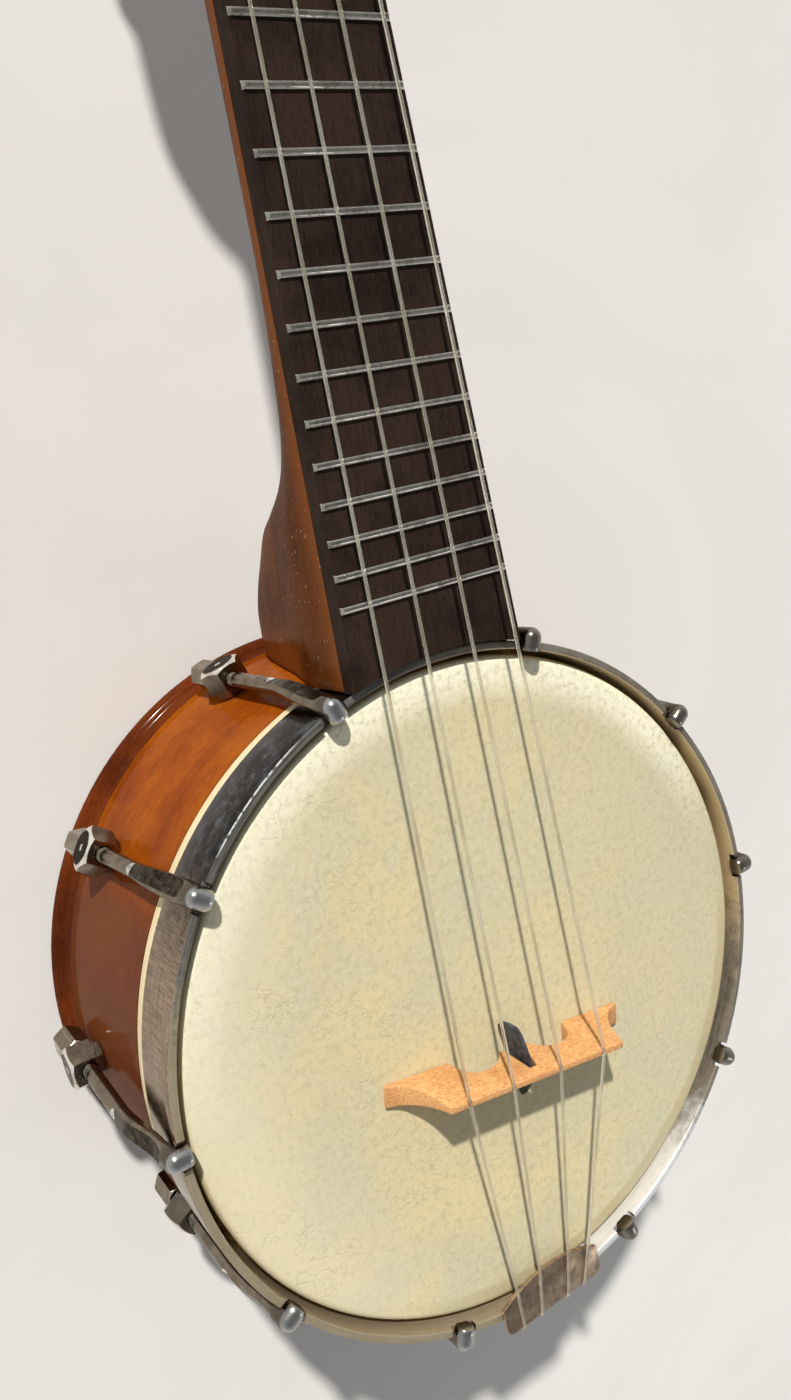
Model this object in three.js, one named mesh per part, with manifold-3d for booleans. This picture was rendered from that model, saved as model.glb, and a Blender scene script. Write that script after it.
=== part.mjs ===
// Banjo ukulele: a drum pot with a stretched skin, ten bracket hooks, a neck and four strings.
// Millimetres, +Z out of the drum head, +Y towards the headstock, +X to the treble side.
// The origin is the middle of the flat back, on which the instrument lies.
import * as THREE from "three";
import { mergeVertices } from "three/addons/utils/BufferGeometryUtils.js";
import Module from "manifold-3d";

const wasm = await Module();
wasm.setup();

// General clearances and cutting overrun
const FIT = 0.3; // gap between pieces that touch
const OVER = 2; // overrun of every cutting body
const RING_SIDES = 60; // facets of the large rings
const ROUND_SIDES = 12; // facets of rods and holes

// Wooden rim
const POT_RADIUS = 92.4;
const RIM_WALL = 8.4;
const RIM_DEPTH = 79.5;
const EDGE_ROUND = 1.3;

// Back plate with its cove and lip
const BACK_PANEL = 4;
const LIP_THICK = 6;
const LIP_PROUD = 3.3;
const COVE_RISE = 5.3;
const COVE_INSET = 1;

// Skin, flesh hoop and tension hoop
const SKIN_THICK = 0.6;
const SKIN_ROUND = 2;
const TUCK_THICK = 0.8;
const FLESH_THICK = 2;
const FLESH_HEIGHT = 2.9;
const HOOP_THICK = 2.1;
const HOOP_PROUD = 0.3;
const HOOP_HEIGHT = 18.4;
const HOOP_ABOVE_SKIN = 3.2;
const NOTCH_DEPTH = 2;
const HOOP_CHAMFER = 0.4;

// Bracket hooks: the angle of each claw from the neck, towards the bass side, in degrees
const HOOK_ANGLES = [19.8, 52.4, 89.2, 122.9, 158.3, -164.1, -127.3, -89.5, -54.8, -18];
const HOOK_LEANS = [-0.75, 2.9, -0.9, 0, 0, 0, 0, 0, 0, 0]; // degrees, set by hand and a little crooked
const ROD_RADIUS = 2.15;
const ROD_STANDOFF = 4.8; // rod axis out from the rim wall
const ROD_LENGTH = 50;
const ARM_LENGTH = 30; // flattened part, below the top of the hoop
const ARM_WIDTH = 6.3;
const ARM_WAIST = 5.4; // width just above the rod
const ARM_THICK = 3.7;
const ARM_GAP = 0.5;
const DOME_RADIUS = 3.1;
const CLAW_REACH = 3.1; // claw in from the hoop's outer face
const ARM_TOP_SHARE = 0.8;
const ARM_ROOT_SHARE = 0.8; // arm's root inside the rod

// Bracket shoes and nuts
const SHOE_DROP = 57.5; // shoe axis below the skin
const SHOE_FLATS = 11;
const SHOE_BODY = 6.4;
const SHOE_CHAMFER = 0.9;
const SHOE_FACE_RADIUS = 4.7;
const SHOE_BASE = 1.9;
const SHOE_BASE_FLATS = 8;
const DIMPLE_RADIUS = 1;
const DIMPLE_DEPTH = 0.5;
const STUD_RADIUS = 1.6;
const STUD_HEAD_RADIUS = 3.4;
const STUD_HEAD_THICK = 1.5;
const NUT_FLATS = 7.6;
const NUT_LENGTH = 12;

// Neck, heel and dowel stick
const NECK_DROP = 1; // neck top below the skin
const HEEL_CLEARANCE = 2.386452; // heel's foot clear of the rods on its two sides
const NUT_HALF_WIDTH = 18;
const HEEL_DEPTH = 78;
const NECK_DEPTH = 19;
const HEEL_LENGTH = 95;
const HEEL_GAP = 0.6; // heel end clear of the rim and the hoop
const DOWEL_WIDTH = 20;
const DOWEL_HEIGHT = 22;
const DOWEL_DROP = 40; // dowel axis below the skin
const MORTISE_DEPTH = 13;
const BLIND_DEPTH = 20;

// Fretboard, frets and string nut
const SCALE_LENGTH = 340;
const BOARD_THICK = 4.5;
const FRET_COUNT = 17;
const FRET_WIDTH = 2;
const FRET_HEIGHT = 1;
const FRET_INSET = 0.6;
const STRING_NUT_LENGTH = 4;
const STRING_NUT_RISE = 2.2;
const SLOT_DEPTH = 0.9;

// Headstock and tuning pegs
const HEAD_LENGTH = 116;
const HEAD_THICK = 13;
const HEAD_TILT = 12; // degrees
const HEAD_HALF_WIDTH = 29;
const PEG_NEAR = 36; // nut to the near pair of pegs
const PEG_FAR = 78;
const PEG_SPREAD = 17.5;
const PEG_RADIUS = 3;
const POST_HEIGHT = 11;
const POST_WAIST = 2.4;
const STRING_AT_POST = 6;
const COLLAR_RADIUS = 5.6;
const COLLAR_THICK = 1.2;
const PEG_TAIL = 9;
const BUTTON_LENGTH = 15;
const BUTTON_WIDTH = 17;
const BUTTON_THICK = 6.5;
const BUTTON_STEM_RADIUS = 4.6;
const BUTTON_STEM = 4;

// Bridge
const BRIDGE_X = -1.6;
const BRIDGE_Y = -18.3;
const BRIDGE_TURN = -9.2; // degrees, set a little crooked
const BRIDGE_LENGTH = 78;
const BRIDGE_TOP_LENGTH = 56.6;
const BRIDGE_HEIGHT = 14.9;
const BRIDGE_FOOT_THICK = 5.8;
const BRIDGE_TOP_THICK = 1.6;
const BRIDGE_BACK_LEAN = 0.8;
const ARCH_HEIGHT = 6.7;
const LEG_TIP_HEIGHT = 2.7;
const FOOT_LENGTH = 19.8;
const LEG_HALF_WIDTH = 4.6;
const SLOT_HALF_WIDTH = 1.2;
const SLOT_MOUTH_HALF_WIDTH = 3;
const BRIDGE_SLOT_HEIGHT = 11.4;
const STRING_PLACES = [-22.7, -9, 6.5, 21.5]; // along the bridge from its middle
const STRING_RADIUS = 0.45;
const NUT_SPREAD = 28.8; // outer strings at the string nut

// Dark plate wedged in the slot of the bridge
const PLATE_THICK = 0.9;
const PLATE_LENGTH = 25.4;
const PLATE_HEIGHT = 10.8;
const PLATE_LIFT = 0.6;
const PLATE_SHIFT = 0.2; // off the middle of the slot, towards the bass side
const PLATE_TURN = 16.5; // degrees askew in the slot

// Tailpiece and end bolt
const TAIL_X = -4.9;
const TAIL_HALF_WIDTH = 16.9;
const TAIL_CROWN_IN = 11; // crown in from the hoop's outer face
const TAIL_SHOULDER_IN = 6.6;
const TAIL_OUT = 0.4; // bent edge out from the hoop
const TAIL_THICK = 1.2;
const TAIL_CORNER = 2;
const TAIL_APRON = 5;
const TAIL_ARCH_PLACES = [-11.8, -3.6, 6.6, 13.6]; // strings over the arch, from its middle
const TAIL_EDGE_PLACES = [-11.8, -5.4, 4.1, 10.2]; // strings over the bent edge
const STRAP_WIDTH = 14;
const BOLT_RADIUS = 2.3;
const BOLT_HEAD_RADIUS = 5;
const BOLT_HEAD_THICK = 4;
const STRAP_BELOW_BOLT = 8;
const KNOT_RADIUS = 1.2;
const KNOT_DROP = 2.6;

// Heights worked out from the sizes above
const RIM_BOTTOM = LIP_THICK + COVE_RISE + FIT;
const RIM_TOP = RIM_BOTTOM + RIM_DEPTH;
const SKIN_UNDER = RIM_TOP + FIT;
const HEAD_Z = SKIN_UNDER + SKIN_THICK;
const HOOP_TOP = HEAD_Z + HOOP_ABOVE_SKIN;
const HOOP_BOTTOM = HOOP_TOP - HOOP_HEIGHT;
const TUCK_TOP = HOOP_BOTTOM - FIT;
const FLESH_BOTTOM = TUCK_TOP - FLESH_HEIGHT;
const SKIN_RADIUS = POT_RADIUS - (TUCK_THICK + FLESH_THICK + FIT + FIT);
const TUCK_FLOOR = FLESH_BOTTOM - FIT;
const TUCK_BOTTOM = TUCK_FLOOR - SKIN_THICK;
const SHOULDER_Z = TUCK_BOTTOM - FIT;
const HOOP_RADIUS = POT_RADIUS + HOOP_PROUD;
const RIM_INNER = POT_RADIUS - RIM_WALL;
const ROD_AXIS = POT_RADIUS + ROD_STANDOFF;
const SHOE_Z = HEAD_Z - SHOE_DROP;
const CLAW_RISE = HOOP_TOP - SHOE_Z;
const NUT_TOP_Z = SHOE_Z - SHOE_FLATS / 2 - FIT;
const NECK_TOP = HEAD_Z - NECK_DROP;
const BOARD_TOP = NECK_TOP + FIT + BOARD_THICK;
const STRING_NUT_Y = BRIDGE_Y + SCALE_LENGTH;
const NECK_START = POT_RADIUS + HEEL_GAP;
const HEAD_START = STRING_NUT_Y + STRING_NUT_LENGTH;
const DOWEL_Z = HEAD_Z - DOWEL_DROP;
const NUT_STRING_Z = BOARD_TOP + STRING_NUT_RISE + STRING_RADIUS + FIT - SLOT_DEPTH;
const TAIL_Y = -(HOOP_RADIUS + TAIL_OUT);
const TAIL_UNDER = HOOP_TOP + ARM_GAP;
const TAIL_TOP = TAIL_UNDER + TAIL_THICK;

const radians = THREE.MathUtils.degToRad;

// The heel's foot fills the gap between the two rods beside it
const NECK_ROD_ANGLE = radians(Math.min(...HOOK_ANGLES.map(Math.abs)));
const HEEL_HALF_WIDTH = ROD_AXIS * Math.sin(NECK_ROD_ANGLE) - ROD_RADIUS - HEEL_CLEARANCE;

const vec = (x, y, z) => new THREE.Vector3(x, y, z);
const pair = (x, y) => new THREE.Vector2(x, y);

// A leaning hook stands over its shoe, so the shoe's angle differs a little from the claw's
const SHOE_ANGLES = HOOK_ANGLES.map((angle, k) => {
  const shift = Math.atan((Math.tan(radians(HOOK_LEANS[k])) * CLAW_RISE) / HOOP_RADIUS);
  return angle + THREE.MathUtils.radToDeg(shift);
});

// Turns a closed geometry into a solid for joining and cutting.
function solidOf(geometry) {
  const bare = new THREE.BufferGeometry();
  bare.setAttribute("position", geometry.getAttribute("position").clone());
  if (geometry.index) bare.setIndex(geometry.index.clone());
  const merged = mergeVertices(bare, 1e-4);
  const kept = [];
  const index = merged.index.array;
  for (let i = 0; i < index.length; i += 3) {
    const [a, b, c] = [index[i], index[i + 1], index[i + 2]];
    if (a !== b && b !== c && c !== a) kept.push(a, b, c);
  }
  const mesh = { numProp: 3, vertProperties: merged.attributes.position.array };
  const made = new wasm.Manifold(new wasm.Mesh({ ...mesh, triVerts: new Uint32Array(kept) }));
  if (made.volume() > 0) return made;
  for (let i = 0; i < kept.length; i += 3) [kept[i], kept[i + 1]] = [kept[i + 1], kept[i]];
  return new wasm.Manifold(new wasm.Mesh({ ...mesh, triVerts: new Uint32Array(kept) }));
}

// Turns a solid back into a three.js geometry.
function geometryOf(solid) {
  const mesh = solid.getMesh();
  const points = new Float32Array(mesh.numVert * 3);
  for (let i = 0; i < mesh.numVert; i += 1) {
    points.set(mesh.vertProperties.subarray(i * mesh.numProp, i * mesh.numProp + 3), i * 3);
  }
  const geometry = new THREE.BufferGeometry();
  geometry.setAttribute("position", new THREE.BufferAttribute(points, 3));
  geometry.setIndex(new THREE.BufferAttribute(mesh.triVerts, 1));
  geometry.computeVertexNormals();
  return geometry;
}

const joined = (...solids) => solids.reduce((whole, solid) => whole.add(solid));
const cut = (body, ...tools) => tools.reduce((left, tool) => left.subtract(tool), body);

// A body of revolution round the Z axis from [radius, height] points.
function turned(points, sides = RING_SIDES) {
  const lathe = new THREE.LatheGeometry(points.map(([r, z]) => pair(r, z)), sides);
  return solidOf(lathe.rotateX(Math.PI / 2));
}

// A closed ring has its first point again at its end.
const turnedRing = (points, sides) => turned([...points, points[0]], sides);

// An outline of [x, y] points, pulled up along Z from the height given.
function pulled(points, low, high) {
  const shape = new THREE.Shape(points.map(([x, y]) => pair(x, y)));
  const block = new THREE.ExtrudeGeometry(shape, { depth: high - low, bevelEnabled: false });
  return solidOf(block.translate(0, 0, low));
}

// An outline of [y, z] points, pulled along X between two places.
function pulledAcross(points, low, high) {
  const shape = new THREE.Shape(points.map(([y, z]) => pair(y, z)));
  const block = new THREE.ExtrudeGeometry(shape, { depth: high - low, bevelEnabled: false });
  block.translate(0, 0, low);
  block.applyMatrix4(new THREE.Matrix4().makeBasis(vec(0, 1, 0), vec(0, 0, 1), vec(1, 0, 0)));
  return solidOf(block);
}

// An outline of [x, z] points, pulled along Y between two places.
function pulledAlong(points, low, high) {
  const shape = new THREE.Shape(points.map(([x, z]) => pair(x, z)));
  const block = new THREE.ExtrudeGeometry(shape, { depth: high - low, bevelEnabled: false });
  block.rotateX(Math.PI / 2);
  return solidOf(block.translate(0, high, 0));
}

// A block between two corners.
function block(low, high) {
  const size = high.clone().sub(low);
  const middle = high.clone().add(low).multiplyScalar(0.5);
  const box = new THREE.BoxGeometry(size.x, size.y, size.z);
  return solidOf(box.translate(middle.x, middle.y, middle.z));
}

// A straight round or many-sided bar along Z, X or Y.
function barUp(radius, low, high, sides = ROUND_SIDES, turn = 0) {
  const bar = new THREE.CylinderGeometry(radius, radius, high - low, sides);
  bar.rotateX(Math.PI / 2).rotateZ(turn);
  return solidOf(bar.translate(0, 0, (low + high) / 2));
}

function barAcross(radius, low, high, sides = ROUND_SIDES, endRadius = radius) {
  const bar = new THREE.CylinderGeometry(endRadius, radius, high - low, sides);
  bar.rotateZ(-Math.PI / 2);
  return solidOf(bar.translate((low + high) / 2, 0, 0));
}

function barAlong(radius, low, high, sides = ROUND_SIDES) {
  const bar = new THREE.CylinderGeometry(radius, radius, high - low, sides);
  return solidOf(bar.translate(0, (low + high) / 2, 0));
}

// A ball, with its poles up and down.
function ball(radius, middle, sides = ROUND_SIDES) {
  const sphere = new THREE.SphereGeometry(radius, sides, sides / 2);
  sphere.rotateX(Math.PI / 2);
  return solidOf(sphere.translate(middle.x, middle.y, middle.z));
}

// A round tube through points that run mostly along Y, with closed ends.
function strand(points, radius, sides) {
  const places = [];
  const faces = [];
  points.forEach((point, k) => {
    const before = points[Math.max(k - 1, 0)];
    const after = points[Math.min(k + 1, points.length - 1)];
    const way = after.clone().sub(before).normalize();
    const side = vec(1, 0, 0).addScaledVector(way, -way.x).normalize();
    const up = side.clone().cross(way);
    for (let i = 0; i < sides; i += 1) {
      const a = (2 * Math.PI * i) / sides;
      const spot = point.clone();
      spot.addScaledVector(side, radius * Math.cos(a)).addScaledVector(up, radius * Math.sin(a));
      places.push(spot.x, spot.y, spot.z);
    }
  });
  const last = (points.length - 1) * sides;
  for (let i = 0; i < sides; i += 1) {
    const j = (i + 1) % sides;
    for (let k = 0; k < last; k += sides) faces.push(k + i, k + j, k + sides + j, k + i, k + sides + j, k + sides + i);
  }
  for (let i = 1; i < sides - 1; i += 1) faces.push(0, i + 1, i, last, last + i, last + i + 1);
  const geometry = new THREE.BufferGeometry();
  geometry.setAttribute("position", new THREE.BufferAttribute(new Float32Array(places), 3));
  geometry.setIndex(faces);
  return solidOf(geometry);
}

// Materials, with the colours of the real surfaces
const finish = (color, roughness, metalness) => new THREE.MeshStandardMaterial({ color, roughness, metalness });
const stainedWood = finish(0x9a4a16, 0.25, 0);
const neckWood = finish(0x7a3a16, 0.35, 0);
const innerWood = finish(0xb08a5a, 0.6, 0);
const ebony = finish(0x2a201c, 0.45, 0);
const maple = finish(0xe0a868, 0.55, 0);
const skin = finish(0xd2cca4, 0.7, 0);
const nickel = finish(0xa8a49c, 0.22, 1);
const brassWire = finish(0xb89858, 0.4, 1);
const nylon = finish(0xe4dfcc, 0.15, 0);
const bone = finish(0xe8e0c8, 0.4, 0);
const darkPlate = finish(0x3a3f4a, 0.4, 0);
const buttonPlastic = finish(0xe6dcc0, 0.3, 0);

const instrument = new THREE.Group();

// Adds one named piece to a group.
function piece(name, shape, material, parent = instrument) {
  const mesh = new THREE.Mesh(shape.isBufferGeometry ? shape : geometryOf(shape), material);
  mesh.name = name;
  parent.add(mesh);
  return mesh;
}

// A group at the height of the shoes: its local +X points outwards, and it leans about that line.
function bracketGroup(angle, lean) {
  const group = new THREE.Group();
  group.rotation.set(radians(lean), 0, radians(angle) + Math.PI / 2, "ZYX");
  group.position.z = SHOE_Z;
  instrument.add(group);
  return group;
}

// A solid made at the +X side, turned to a bracket's angle.
const atBracket = (solid, angle) => solid.rotate([0, 0, angle + 90]);

// Rim: a turned wall with a thinner bearing edge that carries the skin
function rim() {
  const edge = SKIN_RADIUS - SKIN_THICK - FIT;
  const wall = turnedRing([
    [RIM_INNER, RIM_BOTTOM],
    [POT_RADIUS, RIM_BOTTOM],
    [POT_RADIUS, SHOULDER_Z],
    [edge, SHOULDER_Z],
    [edge, RIM_TOP - EDGE_ROUND],
    [edge - EDGE_ROUND, RIM_TOP],
    [RIM_INNER + EDGE_ROUND, RIM_TOP],
    [RIM_INNER, RIM_TOP - EDGE_ROUND],
  ]);
  const studHole = barAcross(STUD_RADIUS + FIT, RIM_INNER - OVER, POT_RADIUS + OVER, 8).translate([0, 0, SHOE_Z]);
  const studHoles = SHOE_ANGLES.map((angle) => atBracket(studHole, angle));
  const half = DOWEL_WIDTH / 2 + FIT;
  const rise = DOWEL_HEIGHT / 2 + FIT;
  const dowelHole = block(
    vec(-half, RIM_INNER - RIM_WALL, DOWEL_Z - rise),
    vec(half, POT_RADIUS + OVER, DOWEL_Z + rise),
  );
  const boltHole = barAlong(BOLT_RADIUS + FIT, -POT_RADIUS - OVER, -RIM_INNER + RIM_WALL);
  return cut(wall, ...studHoles, dowelHole, boltHole.translate([TAIL_X, 0, DOWEL_Z]));
}

// Back: a flat panel with a rounded lip and a cove that rises to the rim
function backPlate() {
  const lip = POT_RADIUS + LIP_PROUD;
  const coveTop = POT_RADIUS - COVE_INSET;
  const profile = [[0, 0]];
  const half = LIP_THICK / 2;
  for (const degrees of [-90, -60, -30, 0, 30, 60]) {
    const a = radians(degrees);
    profile.push([lip - half + half * Math.cos(a), half + half * Math.sin(a)]);
  }
  const reach = lip - half / 2 - coveTop;
  for (const degrees of [15, 40, 65, 90]) {
    const a = radians(degrees);
    profile.push([coveTop + reach * (1 - Math.sin(a)), LIP_THICK + COVE_RISE * (1 - Math.cos(a))]);
  }
  profile.push([RIM_INNER, LIP_THICK + COVE_RISE], [RIM_INNER, BACK_PANEL], [0, BACK_PANEL]);
  return turned(profile);
}

// Skin: a flat membrane that turns down over the bearing edge and tucks round the flesh hoop
function headSkin() {
  const profile = [[0, HEAD_Z]];
  for (const degrees of [90, 60, 30, 0]) {
    const a = radians(degrees);
    const middle = SKIN_RADIUS - SKIN_ROUND;
    profile.push([middle + SKIN_ROUND * Math.cos(a), HEAD_Z - SKIN_ROUND + SKIN_ROUND * Math.sin(a)]);
  }
  profile.push(
    [SKIN_RADIUS, TUCK_FLOOR],
    [POT_RADIUS - TUCK_THICK, TUCK_FLOOR],
    [POT_RADIUS - TUCK_THICK, TUCK_TOP],
    [POT_RADIUS, TUCK_TOP],
    [POT_RADIUS, TUCK_BOTTOM],
    [SKIN_RADIUS - SKIN_THICK, TUCK_BOTTOM],
  );
  const inner = SKIN_ROUND - SKIN_THICK;
  for (const degrees of [0, 45, 90]) {
    const a = radians(degrees);
    const middle = SKIN_RADIUS - SKIN_ROUND;
    profile.push([middle + inner * Math.cos(a), HEAD_Z - SKIN_ROUND + inner * Math.sin(a)]);
  }
  profile.push([0, SKIN_UNDER]);
  return turned(profile);
}

function fleshHoop() {
  const inside = SKIN_RADIUS + FIT;
  const outside = POT_RADIUS - TUCK_THICK - FIT;
  return turnedRing([
    [inside, FLESH_BOTTOM],
    [outside, FLESH_BOTTOM],
    [outside, TUCK_TOP],
    [inside, TUCK_TOP],
  ]);
}

// Tension hoop: a flat metal band with a notch in its top for each hook
function tensionHoop() {
  const inside = HOOP_RADIUS - HOOP_THICK;
  const band = turnedRing([
    [inside, HOOP_BOTTOM],
    [HOOP_RADIUS, HOOP_BOTTOM],
    [HOOP_RADIUS, HOOP_TOP - HOOP_CHAMFER],
    [HOOP_RADIUS - HOOP_CHAMFER, HOOP_TOP],
    [inside, HOOP_TOP],
  ]);
  const half = ARM_WIDTH / 2 + FIT + FIT;
  const notch = block(
    vec(inside - OVER, -half, HOOP_TOP - NOTCH_DEPTH),
    vec(HOOP_RADIUS + OVER, half, HOOP_TOP + OVER),
  );
  return cut(band, ...HOOK_ANGLES.map((angle) => atBracket(notch, angle)));
}

// Hook: a round rod that flattens into an arm, with a domed claw over the hoop
function hook() {
  const low = HOOP_TOP - ARM_LENGTH;
  const rod = barUp(ROD_RADIUS, low - ROD_LENGTH, low + ROD_RADIUS).translate([ROD_AXIS, 0, 0]);
  const face = HOOP_RADIUS + ARM_GAP;
  const root = ROD_RADIUS * ARM_ROOT_SHARE;
  const side = [
    [ROD_AXIS - root, low],
    [ROD_AXIS + root, low],
    [ROD_AXIS + ROD_RADIUS, low + ARM_LENGTH * 0.2],
    [face + ARM_THICK, HOOP_TOP],
    [face + ARM_THICK * ARM_TOP_SHARE, HOOP_TOP + DOME_RADIUS / 2],
    [face, HOOP_TOP + DOME_RADIUS / 2],
    [face, low + ARM_LENGTH * 0.7],
  ];
  const front = [
    [-root, low],
    [root, low],
    [ARM_WAIST / 2, low + ARM_LENGTH * 0.25],
    [ARM_WIDTH / 2, HOOP_TOP - DOME_RADIUS],
    [(ARM_WIDTH / 2) * ARM_TOP_SHARE, HOOP_TOP + DOME_RADIUS / 2],
    [(-ARM_WIDTH / 2) * ARM_TOP_SHARE, HOOP_TOP + DOME_RADIUS / 2],
    [-ARM_WIDTH / 2, HOOP_TOP - DOME_RADIUS],
    [-ARM_WAIST / 2, low + ARM_LENGTH * 0.25],
  ];
  const arm = pulledAlong(side, -ARM_WIDTH, ARM_WIDTH).intersect(
    pulledAcross(front, ROD_AXIS - HOOP_RADIUS, ROD_AXIS + ARM_WIDTH),
  );
  const claw = ball(DOME_RADIUS, vec(HOOP_RADIUS - FIT, 0, HOOP_TOP));
  const under = block(
    vec(face - DOME_RADIUS * 3, -ARM_WIDTH, HOOP_TOP - NOTCH_DEPTH - ARM_WIDTH),
    vec(face + ARM_THICK / 2, ARM_WIDTH, HOOP_TOP - NOTCH_DEPTH + FIT),
  );
  const tip = block(
    vec(face - DOME_RADIUS * 3, -ARM_WIDTH, HOOP_TOP - ARM_WIDTH),
    vec(HOOP_RADIUS - CLAW_REACH, ARM_WIDTH, HOOP_TOP + ARM_WIDTH),
  );
  return joined(rod, arm, cut(claw, under, tip));
}

// Shoe: a six-sided barrel on a smaller six-sided foot, with a screw through the rim
function shoe() {
  const root = POT_RADIUS + FIT;
  const neckAt = root + SHOE_BASE;
  const shoulder = neckAt + SHOE_BODY;
  const corner = SHOE_FLATS / Math.sqrt(3);
  const foot = barAcross(SHOE_BASE_FLATS / Math.sqrt(3), root, neckAt, 6).rotate([30, 0, 0]);
  const body = barAcross(corner, neckAt, shoulder, 6).rotate([30, 0, 0]);
  const nose = barAcross(SHOE_FLATS / 2, shoulder, shoulder + SHOE_CHAMFER, ROUND_SIDES, SHOE_FACE_RADIUS);
  const dimple = barAcross(DIMPLE_RADIUS, shoulder + SHOE_CHAMFER - DIMPLE_DEPTH, shoulder + OVER, 8);
  const stud = barAcross(STUD_RADIUS, RIM_INNER - FIT - STUD_HEAD_THICK, root, 8);
  const head = barAcross(STUD_HEAD_RADIUS, RIM_INNER - FIT - FIT - STUD_HEAD_THICK, RIM_INNER - FIT - FIT);
  const rodHole = barUp(ROD_RADIUS + FIT, -SHOE_FLATS, SHOE_FLATS).translate([ROD_AXIS, 0, 0]);
  return cut(joined(foot, body, nose, stud, head), dimple, rodHole).translate([0, 0, SHOE_Z]);
}

function bracketNut() {
  const low = NUT_TOP_Z - NUT_LENGTH;
  const body = barUp(NUT_FLATS / Math.sqrt(3), low, NUT_TOP_Z, 6);
  const hole = barUp(ROD_RADIUS + FIT, low - OVER, NUT_TOP_Z + OVER);
  return cut(body, hole).translate([ROD_AXIS, 0, 0]);
}

// Share of the heel's extra depth left at each share of its length from the rim
const HEEL_DEPTH_SHARES = [
  [-0.2, 1],
  [0, 1],
  [0.13, 0.98],
  [0.21, 0.92],
  [0.29, 0.83],
  [0.38, 0.71],
  [0.43, 0.57],
  [0.485, 0.4],
  [0.54, 0.29],
  [0.61, 0.2],
  [0.72, 0.12],
  [0.85, 0.05],
  [1, 0],
];
// Half widths of the section at each share of its depth: at the heel's foot and along the neck
const SECTION_DEPTH_SHARES = [0, 0.12, 0.3, 0.5, 0.68, 0.84, 0.95, 1];
const HEEL_WIDTH_SHARES = [1, 0.99, 0.93, 0.78, 0.64, 0.52, 0.42, 0.3];
const SHAFT_WIDTH_SHARES = [1, 0.99, 0.94, 0.84, 0.7, 0.5, 0.28, 0.12];

// Neck half width at a distance along Y, straight from the heel to the string nut
function neckHalfWidth(y) {
  const share = (y - NECK_START) / (STRING_NUT_Y - NECK_START);
  return HEEL_HALF_WIDTH + (NUT_HALF_WIDTH - HEEL_HALF_WIDTH) * share;
}

// Neck shaft and heel as one loft, hollowed at its end to the round of the pot
function neckShaft() {
  const stations = HEEL_DEPTH_SHARES.map(([along, depth]) => ({
    y: NECK_START + HEEL_LENGTH * along,
    depth: NECK_DEPTH + (HEEL_DEPTH - NECK_DEPTH) * depth,
    blend: depth,
  }));
  stations.push({ y: HEAD_START, depth: NECK_DEPTH, blend: 0 });
  const places = [];
  for (const { y, depth, blend } of stations) {
    const half = neckHalfWidth(y);
    const right = SECTION_DEPTH_SHARES.map((share, i) => {
      const wide = HEEL_WIDTH_SHARES[i] * blend + SHAFT_WIDTH_SHARES[i] * (1 - blend);
      return vec(half * wide, y, NECK_TOP - depth * share);
    });
    const left = right.map((p) => vec(-p.x, p.y, p.z)).reverse();
    places.push(...right, ...left);
  }
  const count = 2 * SECTION_DEPTH_SHARES.length;
  const faces = [];
  const last = (stations.length - 1) * count;
  for (let k = 0; k < last; k += count) {
    for (let i = 0; i < count; i += 1) {
      const j = (i + 1) % count;
      faces.push(k + i, k + j, k + count + j, k + i, k + count + j, k + count + i);
    }
  }
  for (let i = 1; i < count - 1; i += 1) faces.push(0, i + 1, i, last, last + i, last + i + 1);
  const geometry = new THREE.BufferGeometry();
  const flat = places.flatMap((p) => [p.x, p.y, p.z]);
  geometry.setAttribute("position", new THREE.BufferAttribute(new Float32Array(flat), 3));
  geometry.setIndex(faces);
  return solidOf(geometry);
}

// Headstock outline in shares of its half width and length, from the string nut
const HEADSTOCK_SHARES = [
  [0.98, 0.12],
  [1, 0.3],
  [0.9, 0.5],
  [0.86, 0.62],
  [0.92, 0.8],
  [0.82, 0.93],
  [0.5, 0.965],
  [0.24, 1],
];

// A solid made flat at the origin, tilted and moved to the headstock's face
const onHeadstock = (solid) => solid.rotate([-HEAD_TILT, 0, 0]).translate([0, HEAD_START, NECK_TOP]);
const PEG_PLACES = [
  [-PEG_SPREAD, PEG_NEAR],
  [-PEG_SPREAD, PEG_FAR],
  [PEG_SPREAD, PEG_FAR],
  [PEG_SPREAD, PEG_NEAR],
];

function neck() {
  const start = NUT_HALF_WIDTH - FIT;
  const right = HEADSTOCK_SHARES.map(([x, y]) => [HEAD_HALF_WIDTH * x, HEAD_LENGTH * y]);
  const left = right.map(([x, y]) => [-x, y]).reverse();
  const outline = [[start, -HEAD_THICK / 3], [start, 0], ...right, ...left, [-start, 0], [-start, -HEAD_THICK / 3]];
  const holes = PEG_PLACES.map(([x, y]) => barUp(PEG_RADIUS + FIT, -HEAD_THICK - OVER, OVER).translate([x, y, 0]));
  const headstock = onHeadstock(cut(pulled(outline, -HEAD_THICK, 0), ...holes));
  const pot = barUp(NECK_START, -OVER, HOOP_TOP + OVER, RING_SIDES);
  const half = DOWEL_WIDTH / 2 + FIT;
  const rise = DOWEL_HEIGHT / 2 + FIT;
  const mortise = block(
    vec(-half, RIM_INNER, DOWEL_Z - rise),
    vec(half, NECK_START + MORTISE_DEPTH + FIT, DOWEL_Z + rise),
  );
  const above = block(
    vec(-HEAD_HALF_WIDTH, RIM_INNER, NECK_TOP),
    vec(HEAD_HALF_WIDTH, HEAD_START + HEAD_LENGTH, NECK_TOP + HEAD_THICK),
  );
  return cut(joined(neckShaft(), headstock), pot, mortise, above);
}

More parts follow.
